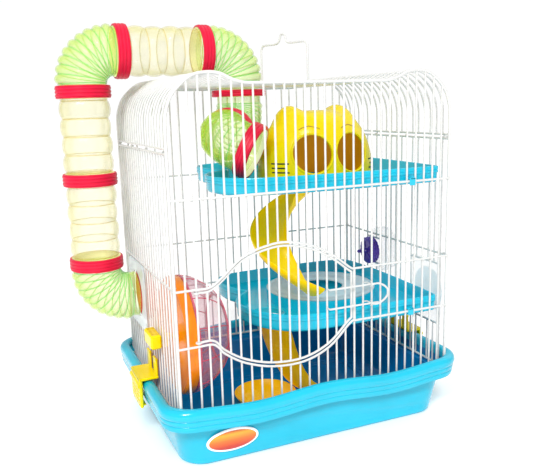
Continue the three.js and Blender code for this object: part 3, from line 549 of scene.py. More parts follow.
def tray():
    # (half x, half y, corner radius, z, share of the rim's wave)
    prof = [(138.5, 94.5, 21, 0.5, 0), (141, 97, 24, 0.4, 0), (142.2, 98.3, 25, 1.6, 0)]
    for i in range(1, 22):
        t = i / 21
        prof.append((142.2 + 7.0 * t, 98.3 + 7.9 * t, 25 + 1 * t, 1.6 + 42.6 * t, 0))
    prof += [(151.4, 108.4, 26, 50, .3), (154, 110.5, 27, 56, 1), (157.4, 112.2, 27, 56.6, 1),
             (158.6, 112.9, 27.5, 50, 1),
             (158.8, 113.0, 27.5, 44.4, 1), (159.4, 113.4, 28, 43.3, 1), (160.2, 114.2, 28, 43.4, 1),
             (160.8, 114.8, 28.5, 45, 1), (161.2, 115.2, 28.5, 48.2, 1), (160.8, 114.8, 28.5, 48.9, 1),
             (161.4, 115.4, 28.5, 49.6, 1), (162.0, 116.0, 29, 53.4, 1), (161.6, 115.6, 29, 54.1, 1),
             (162.3, 116.3, 29, 54.8, 1), (162.9, 116.9, 29, 58.4, 1), (162.6, 116.6, 29, 61, 1),
             (161.3, 115.3, 28.5, 63.4, 1), (159.0, 113.2, 27.5, 64.7, 1), (156.6, 111.2, 27, 64.9, 1),
             (154.2, 109.8, 26, 64.3, 1), (152.4, 109.0, 24, 62.8, 1), (151.3, 108.6, 20, 60.4, 1),
             (151.0, 108.5, 12, 56, .6), (150.8, 108.3, 11, 48, 0), (149.6, 107.2, 11, 46.2, 0), (143.4, 101.4, 18,
                     45.9, 0),
             (142.2, 100.2, 21, 45.2, 0), (141.6, 99.2, 21, 40, 0), (139.4, 95.6, 21, 8, 0), (138.6, 94.6, 20, 4.4, 0),
             (136.0, 92.0, 19, 2.9, 0), (60, 40, 10, 2.7, 0)]
    rings = []
    for hx, hy, r, z, w in prof:
        row = []
        wall = 1.6 < z < 44.3 and hx > 142.1 and not w
        for x, y in plan(hx, hy, r):
            q = 0.0
            if wall and y < -hy + 3 and abs(x) < hx - 10:
                # flowing creases pressed into the long walls
                for z0, a, ph, k, sg in ((30, 6.5, 0.2, 0.9, 1), (21, 8, 1.1, 0.8, -1), (11, 6, 2.3, 1.0, 1)):
                    zl = z0 + a * sin((x + 60) / 52 + ph)
                    q += sg * 1.15 * (1 / (1 + math.exp(-(z - zl) / k)))
                fade = min(1, (z - 1.6) / 5) * min(1, (44.2 - z) / 4) * min(1, (hx - 10 - abs(x)) / 25)
                q *= fade
            row.append((x, y + q, z + w * wave(x)))
        rings.append(row)
    # The last rings, the inner wall and floor, take the darker blue: painted shade.
    cut = len(prof) - 10
    v, f, m = loft(rings[:cut + 1], BLUE, False)
    v2, f2, _ = loft(rings[cut:], SHADED_BLUE, False)
    f.append(tuple(range(len(rings[0]) - 1, -1, -1)))
    k = (len(rings) - cut - 1) * len(rings[0])
    f2.append(tuple(k + i for i in range(len(rings[0]))))
    # moulded rectangle lines on the floor, in the darker blue of the painted shade
    parts = [(v, f, m), (v2, f2, SHADED_BLUE)]
    for a, b in ((120, 76), (112, 68)):
        ring = [(x, y, 3.0) for x, y in plan(a, b, 14, 6, 5)]
        ring.append(ring[0])
        parts.append(tube(ring, 0.7, 6, SHADED_BLUE))
    return parts


make("tray_shell", tray(), stands=["tray"], angle=50)


def badge():
    t = math.atan2(8.0, 44)
    up = Vector((0, -sin(t), cos(t)))
    out = Vector((0, -cos(t), -sin(t)))
    c = Vector((-97, -102.9, 23))
    parts = []
    # The badge rim takes the glowing white: painted light.
    for rings, m in (([(26, 12.5, 0.0), (26, 12.5, 0.7), (25.4, 11.9, 1.1), (23.8, 10.4, 1.1)], MILK_GLOW),
                     ([(23.8, 10.4, 1.1), (23.4, 10.0, 1.25), (19, 8.0, 1.5), (10, 4.2, 1.6)], BADGE)):
        rows = []
        for a, b, h in rings:
            rows.append([tuple(c + Vector((1, 0, 0)) * a * cos(2 * PI * k / 64)
                               + up * b * sin(2 * PI * k / 64) + out * h)
                         for k in range(64)])
        parts.append(loft(rows, m))
    return parts


BADGE = badge_mat()
make("badge_oval", badge(), stands=["badge"])


# ---- shelves -------------------------------------------------------------
MID_PLAN = [(136, -98), (138, -90), (138, 82), (129, 94), (-15, 97), (-37, 89), (-47, 72), (-48, 47), (-41, 25),
            (-35, 13), (-47, 1), (-57, -15), (-59, -37), (-53, -59), (-41, -79), (-22, -93), (8, -99), (41, -99.5),
            (90, -99.5), (125, -99)]
UP_PLAN = [(136, -98), (138, -90), (138, 82), (129, 94), (-35, 96), (-57, 87), (-67, 69), (-68, 45), (-61, 23),
           (-53, 9), (-65, 1), (-81, -11), (-89, -31), (-88, -53), (-79, -73), (-61, -87), (-35, -94), (15, -98),
           (85, -99), (125, -99)]


def cent(pts, per=5):
    """Centripetal spline, so long straight edges stay straight."""
    P = [Vector((x, y)) for x, y in pts]
    n = len(P)
    out = []
    for i in range(n):
        p0, p1, p2, p3 = (P[(i + k) % n] for k in (-1, 0, 1, 2))
        d = [max(1e-4, (b - a).length) ** 0.5 for a, b in ((p0, p1), (p1, p2), (p2, p3))]
        t0, t1 = 0.0, d[0]
        t2, t3 = t1 + d[1], t1 + d[1] + d[2]
        for j in range(per):
            t = t1 + (t2 - t1) * j / per
            a1 = p0 * ((t1 - t) / (t1 - t0)) + p1 * ((t - t0) / (t1 - t0))
            a2 = p1 * ((t2 - t) / (t2 - t1)) + p2 * ((t - t1) / (t2 - t1))
            a3 = p2 * ((t3 - t) / (t3 - t2)) + p3 * ((t - t2) / (t3 - t2))
            b1 = a1 * ((t2 - t) / (t2 - t0)) + a2 * ((t - t0) / (t2 - t0))
            b2 = a2 * ((t3 - t) / (t3 - t1)) + a3 * ((t - t1) / (t3 - t1))
            q = b1 * ((t2 - t) / (t2 - t1)) + b2 * ((t - t1) / (t2 - t1))
            out.append((q.x, q.y))
    return out


def inset(line, k):
    n = len(line)
    area = sum(line[i][0] * line[(i + 1) % n][1] - line[(i + 1) % n][0] * line[i][1] for i in range(n))
    s = 1 if area > 0 else -1
    out = []
    for i in range(n):
        a, b = Vector(line[i - 1]), Vector(line[(i + 1) % n])
        d = (b - a).normalized()
        out.append((line[i][0] - s * d.y * k, line[i][1] + s * d.x * k))
    return out


def shelf(name, pts, z0, z1, z2, hooks, wz, hole, extra, node):
    line = cent(pts, 5)
    prof = [(5.0, z0), (3.0, z0 + 0.5), (1.7, z0 + 1.8), (1.2, z0 + 4.0), (1.1, z2 - 7.4), (0.7, z2 - 6.9),
            (0.1, z2 - 6.6),
            (0, z2 - 5.8), (0.1, z2 - 4.6), (0.5, z2 - 4.2), (0.1, z2 - 3.8), (0, z2 - 1.2), (0.5, z2 - 0.3), (1.3, z2),
            (2.2, z2 - 0.3), (2.7, z2 - 1.2), (3.0, z1 + 2), (4.2, z1 + 0.3), (6, z1)]
    rings = [[(x, y, z) for x, y in inset(line, k)] for k, z in prof]
    v, f, _ = loft(rings, BLUE, False)
    n = len(line)
    lo, hi = 0, (len(prof) - 1) * n
    # floor and underside, each with the climbing hole
    hx, hy, hr = hole
    m = 40
    base = len(v)
    hole_pts = [(hx + hr * cos(2 * PI * k / m), hy + hr * sin(2 * PI * k / m)) for k in range(m)]
    v += [(x, y, z0) for x, y in hole_pts] + [(x, y, z1) for x, y in hole_pts]
    bm = bmesh.new()
    bv = [bm.verts.new(p) for p in v]
    for q in f:
        bm.faces.new([bv[i] for i in q])
    for start, off in ((lo, base), (hi, base + m)):
        e1 = [bm.edges.get((bv[start + i], bv[start + (i + 1) % n])) or bm.edges.new((bv[start + i],
                bv[start + (i + 1) % n]))
              for i in range(n)]
        e2 = [bm.edges.new((bv[off + i], bv[off + (i + 1) % m])) for i in range(m)]
        bmesh.ops.triangle_fill(bm, use_beauty=True, use_dissolve=False, edges=e1 + e2)
    for i in range(m):
        j = (i + 1) % m
        bm.faces.new([bv[base + i], bv[base + j], bv[base + m + j], bv[base + m + i]])
    bmesh.ops.recalc_face_normals(bm, faces=bm.faces)
    bm.verts.index_update()
    vv = [tuple(p.co) for p in bm.verts]
    ff = [tuple(p.index for p in q.verts) for q in bm.faces]
    bm.free()
    parts = [(vv, ff, BLUE)]
    # lip round the hole
    parts.append(lathe([(hr, -0.2), (hr + 2.4, -0.2), (hr + 1.8, 1.6), (hr + 0.8, 2.0), (hr, 1.4), (hr, -0.2)], 40,
                       (hx, hy, z1), mat_=BLUE))
    for x, s in hooks:
        y = s * D
        a, b = sorted((y - s * 6.0, y + s * 3.4))
        parts.append(box(x - 3.2, x + 3.2, a, b, wz + 1.5, wz + 3.6, BLUE, 0.7))
        a, b = sorted((y + s * 2.0, y + s * 3.4))
        parts.append(box(x - 3.2, x + 3.2, a, b, wz - 4, wz + 3.6, BLUE, 0.5))
    make(name, parts + extra, stands=[node], angle=35)


drum = [lathe([(58.8, -0.6), (61, -0.6), (61, 8.6), (60.4, 10.2), (59.4, 10.6), (58.8, 10), (58.8, -0.6)], 72,
              (51, 0, 116.5), mat_=BLUE)]
shelf("mid_shelf_tray", MID_PLAN, 112.5, 116.5, 130.5, [(100, -1), (20, 1), (100, 1)], LOW, (-30, -36, 17), drum,
      "mid_shelf")
shelf("upper_shelf_tray", UP_PLAN, 248.5, 252.5, 265.5, [(100, -1), (0, 1), (100, 1)], HIGH, (40, 14, 17), [],
      "upper_shelf")
make("insert_ring", [lathe([(25, 0.3), (26, 0), (60, 0), (60.8, 0.5), (60.8, 1.3), (60, 1.8), (55, 1.8),
                            (54.2, 1.2), (42, 1.2),
                            (41, 1.8), (26, 1.8), (25, 1.4), (25, 0.3)], 80, (51, 0, 127.3), mat_=FROST)],
     stands=["shelf_insert"])


# ---- slides --------------------------------------------------------------
def trough(path, w, h, t, m=None):
    pts = [Vector(p) for p in path]
    rings = []
    for i, p in enumerate(pts):
        d = (pts[min(i + 1, len(pts) - 1)] - pts[max(i - 1, 0)]).normalized()
        side = Vector((d.y, -d.x, 0)).normalized()
        up = side.cross(d).normalized()
        R = w / 2
        row = []
        N = 18
        for k in range(N + 1):
            q = PI + PI * k / N
            row.append(p + side * (R * cos(q)) + up * (h * sin(q)))
        row.append(p + side * (R * 1.0 - t * 0.3) + up * 0.55)
        for k in range(N, -1, -1):
            q = PI + PI * k / N
            row.append(p + side * ((R - t) * cos(q)) + up * ((h - t) * sin(q)))
        row.append(p - side * (R * 1.0 - t * 0.3) + up * 0.55)
        rings.append(row)
    return loft(rings, m or YELLOW)


def helix(cx, cy, r, a0, a1, z0, z1, n):
    return [(cx + r * cos(math.radians(a0 + (a1 - a0) * i / n)), cy + r * sin(math.radians(a0 + (a1 - a0) * i / n)),
             z0 + (z1 - z0) * i / n) for i in range(n + 1)]


make("slide_upper", [trough(helix(18, -15, 32, 50, 275, 246, 143.7, 60), 40.6, 12.8, 2, SLIDE_GLOW)], stands=["upper_slide"],
     angle=50)
low = catmull([(-25, -35, 110.4), (-18, -30.5, 97), (-10, -25.5, 76), (-2, -21, 59), (8, -16.5, 42), (20, -12, 28),
               (36, -8, 18.9)], 12)
make("slide_lower", [trough(low, 37.6, 12.8, 2, GOLD_GLOW)], stands=["lower_slide"], angle=50)
make("dish_bowl", [lathe([(0, 0), (25, 0), (27, 0.6), (31, 5), (34.4, 9.6), (34.8, 10.6), (34.2, 11), (33.4, 10.8),
                          (32.6, 9.6), (29, 4.8), (25.6, 2.2), (22, 1.8), (0, 1.8)], 72, (-20, 1, 2.9), mat_=GOLD_GLOW)],
     stands=["food_dish"])


# ---- tubes ---------------------------------------------------------------
def elbow(name, p, a, b, first, node):
    """Fan-fluted elbow from p heading a, turning to heading b."""
    p, a, b = Vector(p), Vector(a).normalized(), Vector(b).normalized()
    R, n = 31.0, 90
    start = p + a * first
    c = start + b * R
    path, ang = [], []
    for i in range(5):
        path.append(p + a * (0.3 + (first - 0.3) * i / 5))
        ang.append(-1)
    for i in range(n + 1):
        q = (i / n) * PI / 2
        path.append(c - b * (R * cos(q)) + a * (R * sin(q)))
        ang.append(i / n)
    e = path[-1]
    for i in range(1, 6):
        path.append(e + b * ((8 - 0.3) * i / 5))
        ang.append(-1)

    def grow(i, th):
        t = ang[i]
        if t < 0:
            return 0.0
        w = 0.5 + 0.5 * cos(th)
        b = abs(sin(PI * 9 * t)) ** 0.6
        q = 0.5 + 0.5 * cos(9 * th)
        return (0.35 + 3.0 * w) * b * (0.85 + 0.15 * q)

    # the outer side faces away from the bend's centre
    pts = [Vector(q) for q in path]

    def frame_out(i):
        if ang[i] < 0:
            return -b if i < 5 else a
        return (pts[i] - c).normalized()

    v, f = [], []
    nn = 72
    rows = []
    for i, q in enumerate(pts):
        t = (pts[min(i + 1, len(pts) - 1)] - pts[max(i - 1, 0)]).normalized()
        s = frame_out(i)
        s = (s - t * s.dot(t)).normalized()
        rows.append((q, s, t.cross(s)))
    M = len(pts)
    order = [(i, 0) for i in range(M)] + [(i, 1) for i in range(M - 1, -1, -1)]
    for i, ins in order:
        q, s, u = rows[i]
        for k in range(nn):
            th = 2 * PI * k / nn
            r = 23.5 + grow(i, th) - (1.5 if ins else 0)
            v.append(tuple(q + s * (r * cos(th)) + u * (r * sin(th))))
    for i in range(2 * M):
        j = (i + 1) % (2 * M)
        for k in range(nn):
            k2 = (k + 1) % nn
            f.append((i * nn + k, i * nn + k2, j * nn + k2, j * nn + k))
    parts = [(v, f, GREEN)]
    # painted darker lines in the pinches, for the clear folds seen edge-on, and end beads
    for t in [k / 9 for k in range(0, 10)]:
        i = 5 + round(t * n)
        q, s, u = rows[i]
        loop = [tuple(q + s * (23.75 * cos(2 * PI * k / 36)) + u * (23.75 * sin(2 * PI * k / 36))) for k in range(37)]
        parts.append(tube(loop, 0.36, 5, PINCH_GREEN_SHADE))
    make(name, parts, stands=[node], angle=60)
    return path[-1] + b * 0.3


def straight(name, d, c, length, node):
    h = length / 2
    L = 2 * h - 14

    def out(z, a=0.0):
        t = (z + h - 7) / L * 4
        if t < 0 or t > 4:
            return 23.0
        b = abs(sin(PI * t)) ** 0.55
        # each bulge is pillowed round the tube, staggered from row to row
        q = 0.5 + 0.5 * cos(9 * a + (PI if int(t) % 2 else 0))
        return 22.4 + b * (2.0 + 0.95 * q ** 0.6)

    zs = [-h, -h + 4, -h + 6.9] + [-h + 7 + L * i / 80 for i in range(81)] + [h - 6.9, h - 4, h]
    prof = [(0.0, z) for z in zs] + [(1.5, z) for z in reversed(zs)]
    prof = [(1e-6 if r0 == 0 else r0, z) for r0, z in prof]
    prof.append(prof[0])
    parts = [lathe(prof, 108, c, d, PALE, lambda r0, z, a: out(z, a) - (1.5 if r0 > 1 else 0))]
    # painted darker rings in the pinches, for the clear folds seen edge-on
    for k in range(5):
        z = -h + 7 + L * k / 4
        r = 22.7
        parts.append(lathe([(r - 0.5, z - 0.35), (r, z - 0.35), (r + 0.15, z), (r, z + 0.35), (r - 0.5, z + 0.35),
                            (r - 0.5, z - 0.35)], 48, c, d, PINCH_AMBER_SHADE))
    make(name, parts, stands=[node], angle=60)


# The ring's inner face takes the glowing pale yellow by default: painted light.
def ring(name, d, c, r, w, node, inner=RING_GLOW):
    h = w / 2
    prof = [(24.8, -h), (r - 1.4, -h), (r - 0.5, -h + 0.5), (r - 0.4, -h + 1.2)]
    k = 3 if w > 10 else 2
    for i in range(k):
        a = -h + 1.2 + (w - 2.4) * i / k
        b = -h + 1.2 + (w - 2.4) * (i + 1) / k
        prof += [(r - 0.7, a + 0.3), (r - 0.1, a + 0.8), (r, (a + b) / 2), (r - 0.1, b - 0.8), (r - 0.7, b - 0.3)]
    prof += [(r - 0.4, h - 1.2), (r - 0.5, h - 0.5), (r - 1.4, h), (24.8, h)]
    make(name, [lathe(prof, 56, c, d, RED), lathe([(24.8, h), (24.8, -h)], 56, c, d, inner)], stands=[node],
         angle=30)


Xv, Zv, DN = (1, 0, 0), (0, 0, 1), (0, 0, -1)
CX, PY, RZ, PZ = -188, 42, 387.5, 136.5
elbow("bend_foot", (CX, PY, PZ + 39), DN, Xv, 8, "elbow_foot")
elbow("bend_corner", (CX, PY, RZ - 39), Zv, Xv, 8, "elbow_corner")
elbow("bend_roof", (-62.5, PY, RZ), Xv, DN, 8, "elbow_roof")
straight("pipe_lower", Zv, (CX, PY, PZ + 39 + 43.25), 85.9, "tube_lower")
straight("pipe_upper", Zv, (CX, PY, PZ + 39 + 129.25), 84.9, "tube_upper")
straight("pipe_run", Xv, (-105.75, PY, RZ), 85.9, "tube_run")
ring("collar_foot", Zv, (CX, PY, PZ + 39), 27.2, 12.6, "ring_foot")
ring("collar_mid", Zv, (CX, PY, PZ + 39 + 86.5), 27.2, 12.6, "ring_mid")
ring("collar_head", Zv, (CX, PY, RZ - 39), 27.2, 12.6, "ring_head")
ring("collar_corner", Xv, (-149, PY, RZ), 27.2, 12.6, "ring_corner")
ring("collar_run", Xv, (-62.5, PY, RZ), 27.2, 12.6, "ring_run")
ring("collar_roof_port", Zv, (-23.5, PY, 343.8), 29.5, 7, "ring_roof_port")
h1 = Vector((-0.610, -0.792, 0)).normalized()
h2 = Vector((0.7235, -0.557, -0.407))
h2 = (h2 - h1 * h2.dot(h1)).normalized()
e1 = elbow("bend_drop", (-23.5, PY, 347.9), DN, h1, 15, "elbow_drop")
e2 = elbow("bend_mouth", e1, h1, h2, 8, "elbow_mouth")
ring("collar_drop", h1, e1, 27.2, 12.6, "ring_drop")
ring("collar_mouth", h2, e2 - h2 * 2, 28.6, 12.6, "ring_mouth")
ring("collar_side_port", Xv, (-139.4, PY, PZ), 29.5, 9, "ring_side_port", RED)

# ---- house ---------------------------------------------------------------
HX, HY, HZ = 42, -10, 252.8


def house_f(x, y, z, g=0.0):
    rho = math.hypot(x / (65 + g), y / (48 + g))
    ze = max(0.0, z) / (71 + g)
    d = ((rho ** 3.226 + ze ** 2.105) ** 0.38 - 1) * 50
    for s in (-1, 1):
        e = (math.sqrt(((x - 28 * s) / (16.6 + g)) ** 2 + ((y - 4) / (29.5 + g)) ** 2
                       + ((z - 46) / (30.1 + g)) ** 2) - 1) * 22
        k = 5.0
        hh = max(k - abs(d - e), 0) / k
        d = min(d, e) - hh * hh * k * 0.25
    return d


def house():
    n, m = 112, 44
    c = 14.0
    rings = []
    for g in (0.0, -2.3):
        rows = []
        for j in range(m + 1):
            row = []
            for i in range(n):
                u = 2 * PI * i / n
                # the base point by bisection; rays then sweep from it to the top
                lo_r, hi_r = 10.0, 90.0
                for _ in range(18):
                    r = (lo_r + hi_r) / 2
                    if house_f(r * cos(u), r * sin(u), 0, g) < 0:
                        lo_r = r
                    else:
                        hi_r = r
                ph0 = -math.atan2(c, lo_r)
                ph = ph0 + (PI / 2 - ph0) * (j / m)
                if j == 0:
                    row.append((lo_r * cos(u), lo_r * sin(u), 0.0))
                    continue
                a, b = 5.0, 100.0
                for _ in range(18):
                    r = (a + b) / 2
                    z = c + r * sin(ph)
                    if z >= 0 and house_f(r * cos(ph) * cos(u), r * cos(ph) * sin(u), z, g) < 0:
                        a = r
                    else:
                        b = r
                row.append((a * cos(ph) * cos(u), a * cos(ph) * sin(u), max(0.0, c + a * sin(ph))))
            rows.append(row)
        rings.append(rows)
    bm = bmesh.new()
    grid = []
    for rows in rings:
        first = len(bm.faces)
        vs = [[bm.verts.new(p) for p in row] for row in rows[:-1]]
        top = bm.verts.new(rows[-1][0])
        for j in range(len(vs) - 1):
            for i in range(n):
                bm.faces.new((vs[j][i], vs[j][(i + 1) % n], vs[j + 1][(i + 1) % n], vs[j + 1][i]))
        for i in range(n):
            bm.faces.new((vs[-1][i], vs[-1][(i + 1) % n], top))
        grid.append(vs)
        bm.faces.ensure_lookup_table()
        if rows is rings[1]:
            for q in bm.faces[first:]:
                q.material_index = 1
    for i in range(n):
        k = (i + 1) % n
        bm.faces.new((grid[0][0][i], grid[0][0][k], grid[1][0][k], grid[1][0][i]))
    bmesh.ops.recalc_face_normals(bm, faces=bm.faces)
    bm.verts.index_update()
    v = [(p.co.x + HX, p.co.y + HY, p.co.z + HZ) for p in bm.verts]
    f = [[tuple(q.index for q in p.verts) for p in bm.faces if p.material_index == k] for k in (0, 1)]
    bm.free()
    # The inner shell takes the darker, glowing orange: painted shade and painted light.
    o = make("cat_house_shell", [(v, f[0], YELLOW), (v, f[1], HOUSE_INSIDE_SHADE_GLOW)], stands=["cat_house"], angle=35)
    w = bmesh.new()
    w.from_mesh(o.data)
    bmesh.ops.remove_doubles(w, verts=w.verts, dist=1e-6)
    w.to_mesh(o.data)
    w.free()
    cuts = []
    for dx in (-23, 21):
        cuts.append(lathe([(0, 0), (19, 0), (19, 70), (0, 70)], 56, (HX + dx, HY - 70, HZ + 28), (0, 1, 0), YELLOW))
    tool = make("cut_tool", cuts, body=None)
    md = o.modifiers.new("openings", "BOOLEAN")
    md.operation = "DIFFERENCE"
    md.solver = "EXACT"
    md.use_self = True
    md.object = tool
    bpy.context.view_layer.update()
    dg = bpy.context.evaluated_depsgraph_get()
    me = bpy.data.meshes.new_from_object(o.evaluated_get(dg))
    o.modifiers.clear()
    o.data = me
    me.polygons.foreach_set("use_smooth", [True] * len(me.polygons))
    me.set_sharp_from_angle(angle=math.radians(35))
    bpy.data.objects.remove(tool)
    return o


house()


def surf_y(x, z):
    """Front surface of the house at local x and height z."""
    a, b = -80.0, 0.0
    for _ in range(24):
        y = (a + b) / 2
        if house_f(x, y, z) > 0:
            a = y
        else:
            b = y
    return a


face = []
for dx in (-23, 21):
    loop = []
    for k in range(49):
        a = 2 * PI * k / 48
        x, z = dx + 20.2 * cos(a), 28 + 20.2 * sin(a)
        loop.append((HX + x, HY + surf_y(x, z) + 0.3, HZ + z))
    face.append(tube(loop, 1.2, 8, YELLOW))
    # brow line drawn dark: painted shade of an engraved groove
    brow = []
    for k in range(9):
        x = dx - 10 + 20 * k / 8
        z = 52.4 + 3.2 * (1 - abs(k - 4) / 4) ** 0.7
        brow.append((HX + x, HY + surf_y(x, z) + 0.25, HZ + z))
    face.append(tube(brow, 0.6, 6, BROW_SHADE))
# Whisker slots as dark strokes on the face: painted shade in place of cut slots.
for sd in (-1, 1):
    for k in range(3):
        z = 19 - 4.4 * k
        xs = [sd * (46 + (2.5 if k == 1 else 0) + 2.6 * i) for i in range(6)]
        line = [(HX + x, HY + surf_y(x, z) + 0.15, HZ + z) for x in xs if surf_y(x, z) < -14]
        if len(line) > 2:
            face.append(tube(line, 0.8, 6, SLOT_SHADE))
nose = []
for k in range(9):
    z = 22 + 13 * k / 8
    nose.append((HX - 1, HY + surf_y(-1, z) + 0.9, HZ + z))
face.append(tube(nose, 2.0, 8, YELLOW, lambda i, a: 2.2 * sin(PI * (i + 0.6) / 9.2) + 0.3))
make("cat_face_trim", face)

# ---- wheel ---------------------------------------------------------------
WC = (0, -36, 110.5)
r, x0, x1, x2 = 59.0, -133.0, -122.0, -84.0
wheel = [lathe([(4, x0), (20, x0), (22, x0 + 1.0), (r - 8, x0 + 1.0), (r - 3, x0 + 0.6), (r - 0.8, x0 + 2.2),
                (r, x0 + 5),
                (r, x1 - 1.2), (r - 0.6, x1), (r - 2.2, x1), (r - 2.2, x0 + 5.4), (r - 4, x0 + 3.6), (20, x0 + 3.2),
                (4, x0 + 3.2), (4, x0)], 96, WC, Xv, ORANGE)]
dome_p = catmull([(r - 0.3, x1 + 0.3), (r - 0.9, x1 + 7), (r - 3.2, x1 + 14), (r - 8.6, x1 + 23), (r - 16, x1 + 31),
                  (r - 25, x2 - 0.3)], 5)
inn = [(a - 1.2, b - 1.0 if b > x1 + 3 else b) for a, b in reversed(dome_p)]
dome_m = dome_p + inn
dome_m.append(dome_m[0])
wheel.append(lathe(dome_m, 96, WC, Xv, PINK))
wheel.append(lathe([(33.6, x2 - 2.4), (35.2, x2 - 2.2), (35.0, x2 - 0.1), (33.6, x2), (32.9, x2 - 1.2),
                    (33.6, x2 - 2.4)], 72, WC, Xv,
                   PINKRIB))
wheel.append(lathe([(r - 2.0, x1 + 0.3), (r - 0.1, x1 + 0.3), (r - 0.2, x1 + 2.2), (r - 1.6, x1 + 2.2),
                    (r - 2.0, x1 + 0.3)], 96,
                   WC, Xv, PINKRIB))
for k in range(12):
    a = 2 * PI * (k + 0.3) / 12
    path = [(b + 0.15, WC[1] + (q - 0.1) * cos(a), WC[2] + (q - 0.1) * sin(a)) for q, b in dome_p[::2]]
    wheel.append(tube(path, 0.55, 6, PINKRIB))
for k in range(24):
    a = 2 * PI * k / 24
    wheel.append(tube([(x0 + 5, WC[1] + 56.6 * cos(a), WC[2] + 56.6 * sin(a)),
                       (x1 - 1, WC[1] + 56.6 * cos(a), WC[2] + 56.6 * sin(a))], 0.9, 6, ORANGE))
make("wheel_rotor", wheel, "wheel", ["wheel_drum", "wheel_dome"], angle=35)

cy = WC[1]
clipz = WC[2]
clip = [box(-157, -146.4, cy - 15, cy + 15, clipz - 7, clipz + 7, YELLOW, 1.6),
        box(-143.6, -139, cy - 12, cy + 12, clipz - 7, clipz + 7, YELLOW, 1.0),
        tube([(-150, cy, clipz), (-104, cy, clipz)], 2.9, 20, YELLOW)]
for k in range(-1, 2):
    for j in range(2):
        clip.append(box(-155.4 + j * 4.6, -152.2 + j * 4.6, cy + k * 9 - 3, cy + k * 9 + 3, clipz + 6.6,
                        clipz + 7.0, YELLOW, 0.15))
make("wheel_bracket", clip, stands=["wheel_clip"])

# ---- ports, bottle, latches ----------------------------------------------
make("side_plate", [lathe([(25.0, -1), (36, -1), (36.8, -0.4), (36.8, 0.4), (36, 1), (25.0, 1), (25.0, -1)], 64,
                          (-147.5, PY, PZ), Xv, FROST, lambda q, h, a: q if q < 26 else
                          min(q / max(abs(cos(a)), abs(sin(a))), 47.0) * (36 / 37.0))],
     stands=["side_port_plate"])


def flat(pts, x0, x1, m):
    n = len(pts)
    v = [(x0, y, z) for y, z in pts] + [(x1, y, z) for y, z in pts]
    f = [tuple(range(n)), tuple(range(2 * n - 1, n - 1, -1))]
    for i in range(n):
        j = (i + 1) % n
        f.append((i, i + n, j + n, j))
    return v, f, m


def rrect(cy_, cz_, w, h, r_):
    return [(x + cy_, y + cz_) for x, y in plan(w / 2, h / 2, r_, 4, 6)]


make("blank_plate", [flat(rrect(-66.9, 128, 55.6, 69.6, 5), 146.6, 148.4, PLATE)], stands=["blank_port_plate"])
oval = [(-66.9 + 24.8 * cos(2 * PI * k / 64), 128 + 24.4 * sin(2 * PI * k / 64)) for k in range(64)]
# The cover glows: painted light.
make("blank_cover", [flat(oval, 148.8, 150.6, MILK_GLOW)], stands=["blank_port_cover"])

BC = (0, 37, 152.5)
cap_prof = [(0, 122), (1.3, 122), (2.0, 123), (2.3, 130), (3.4, 133.6), (12.6, 133.6), (13.8, 134.4), (16.0, 134.9),
            (16.4, 136.0), (16.4, 137.2), (15.7, 137.6), (15.7, 138.2), (16.4, 138.6), (16.4, 140.2), (15.7, 140.6),
            (15.7, 141.2), (16.4, 141.6), (16.3, 142.8), (15.4, 143.3), (0, 143.3)]
cap = [lathe(cap_prof, 120, BC, Xv, PURPLE, lambda q, h,
             a: q * (1 - 0.045 * (0.5 + 0.5 * cos(20 * a))) if q > 15 else q)]
for k in range(5):
    a = 2 * PI * k / 5
    cap.append(tube([(133.2, BC[1] + 4 * cos(a), BC[2] + 4 * sin(a)),
                     (133.2, BC[1] + 12 * cos(a), BC[2] + 12 * sin(a))],
                    0.7, 6, PURPLE))
make("bottle_nozzle_cap", cap, stands=["bottle_cap"], angle=30)
body_p = [(9, 144.4), (12.6, 144.4), (12.8, 147.4), (20, 149), (26.6, 151.4), (27.8, 154), (27.8, 161), (26, 164.6),
          (21, 167.4),
          (0, 167.8), (0, 166.6), (20.6, 166.2), (25, 163.6), (26.6, 160.6), (26.6, 154.4), (19, 150.4), (9,
                  149), (9, 144.4)]
make("bottle_tank", [lathe(body_p, 72, BC, Xv, GLASS)], stands=["bottle_body"])


def latch(s, name, body, node):
    y = -13

    def b(a0, a1, y0, y1, z0, z1, bev=0.9):
        lo_, hi_ = sorted((s * a0, s * a1))
        return box(lo_, hi_, y0, y1, z0, z1, YELLOW, bev)

    parts = [b(164.1, 167.5, y - 19.8, y + 19.8, 38.2, 69, 1.1), b(147.5, 167.5, y - 19.8, y + 19.8, 66.3, 69.1, 0.9),
             b(147.5, 149.7, y - 18, y - 7, 66.5, 85.8, 0.7), b(147.5, 149.7, y + 7, y + 18, 66.5, 85.8, 0.7),
             b(160.6, 167.5, y - 14, y + 14, 38.1, 40.1, 0.6)]
    parts.append(tube([(s * 166.6, y - 19.4, 62), (s * 166.6, y + 19.4, 62)], 2.6, 16, YELLOW))
    for k in range(4):
        z = 44 + 4.2 * k
        parts.append(b(167.0, 168.0, y - 14, y + 14, z, z + 1.6, 0.4))
    for q in (-12.5, 12.5):
        parts.append(tube([(s * 148.6, y + q - 5.4, 85.6), (s * 148.6, y + q + 5.4, 85.6)], 1.3, 12, YELLOW))
    make(name, parts, body, [node])


latch(-1, "clip_left", "left_clip", "left_latch")
latch(1, "clip_right", "right_clip", "right_latch")

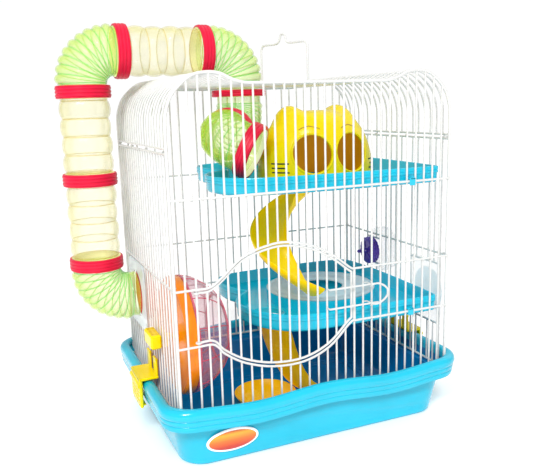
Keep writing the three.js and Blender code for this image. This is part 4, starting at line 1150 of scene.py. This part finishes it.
# ---- stage, light, camera ------------------------------------------------
FLOOR_SIZE = 90.0        # metres, so that its edge is out of every view
FLOOR_GLOW = 0.16        # a bright studio floor
WORLD_LIT = 0.62         # strength that lights the cage
WORLD_SEEN = 1.02        # strength of the background itself
bpy.ops.mesh.primitive_plane_add(size=FLOOR_SIZE, location=(0, 0, -0.0004))
floor = bpy.context.object
floor.name = "floor"
fm = mat("floor_white", (0.97, 0.97, 0.97), 0.9, vary=0.005, scale=2, bump=0.0, spec=0.05)
fm.node_tree.nodes["Principled BSDF"].inputs["Emission Color"].default_value = (1, 0.97, 0.95, 1)
fm.node_tree.nodes["Principled BSDF"].inputs["Emission Strength"].default_value = FLOOR_GLOW
floor.data.materials.append(fm)

sc = bpy.context.scene
world = bpy.data.worlds.new("studio")
sc.world = world
world.use_nodes = True
wt = world.node_tree
bg = wt.nodes["Background"]
bg.inputs["Color"].default_value = (1, 1, 1, 1)
lp = wt.nodes.new("ShaderNodeLightPath")
wm = wt.nodes.new("ShaderNodeMapRange")
wm.inputs["To Min"].default_value = WORLD_LIT
wm.inputs["To Max"].default_value = WORLD_SEEN
wt.links.new(lp.outputs["Is Camera Ray"], wm.inputs["Value"])
wt.links.new(wm.outputs["Result"], bg.inputs["Strength"])
sc.view_settings.view_transform = "Standard"
sc.view_settings.look = "None"


def lamp(name, loc, target, kind, size, power):
    l = bpy.data.lights.new(name, kind)
    l.energy = power
    if kind == "SUN":
        l.angle = math.radians(size)
    else:
        l.size = size
    o = bpy.data.objects.new(name, l)
    o.location = loc
    o.rotation_euler = (Vector(target) - Vector(loc)).to_track_quat("-Z", "Y").to_euler()
    sc.collection.objects.link(o)


lamp("sun_front", (-0.5, -1.3, 1.5), (0, 0, 0), "SUN", 14, 1.15)
lamp("sun_side", (1.4, 0.4, 1.5), (0, 0, 0), "SUN", 60, 0.45)
lamp("key", (-0.75, -0.95, 1.0), (0, 0, 0.2), "AREA", 0.22, 9)

CAM_AT = (-0.2868, -0.6539, 0.3308)      # metres
CAM_TURN = (22.699, -11.262, -1.713)     # yaw, pitch and roll, degrees
LENS_MM = 45.18
yaw, pitch, roll = (math.radians(a) for a in CAM_TURN)
fw = Vector((sin(yaw) * cos(pitch), cos(yaw) * cos(pitch), sin(pitch)))
rt = fw.cross(Vector((0, 0, 1))).normalized()
up = rt.cross(fw)
r2 = rt * cos(roll) + up * sin(roll)
u2 = -rt * sin(roll) + up * cos(roll)
cd = bpy.data.cameras.new("camera")
cam = bpy.data.objects.new("camera", cd)
sc.collection.objects.link(cam)
cam.matrix_world = Matrix(((r2.x, u2.x, -fw.x, CAM_AT[0]), (r2.y, u2.y, -fw.y, CAM_AT[1]),
                           (r2.z, u2.z, -fw.z, CAM_AT[2]),
                           (0, 0, 0, 1)))
cd.sensor_fit = "HORIZONTAL"
cd.sensor_width = 36
cd.lens = LENS_MM
cd.clip_start = 0.01
sc.camera = cam
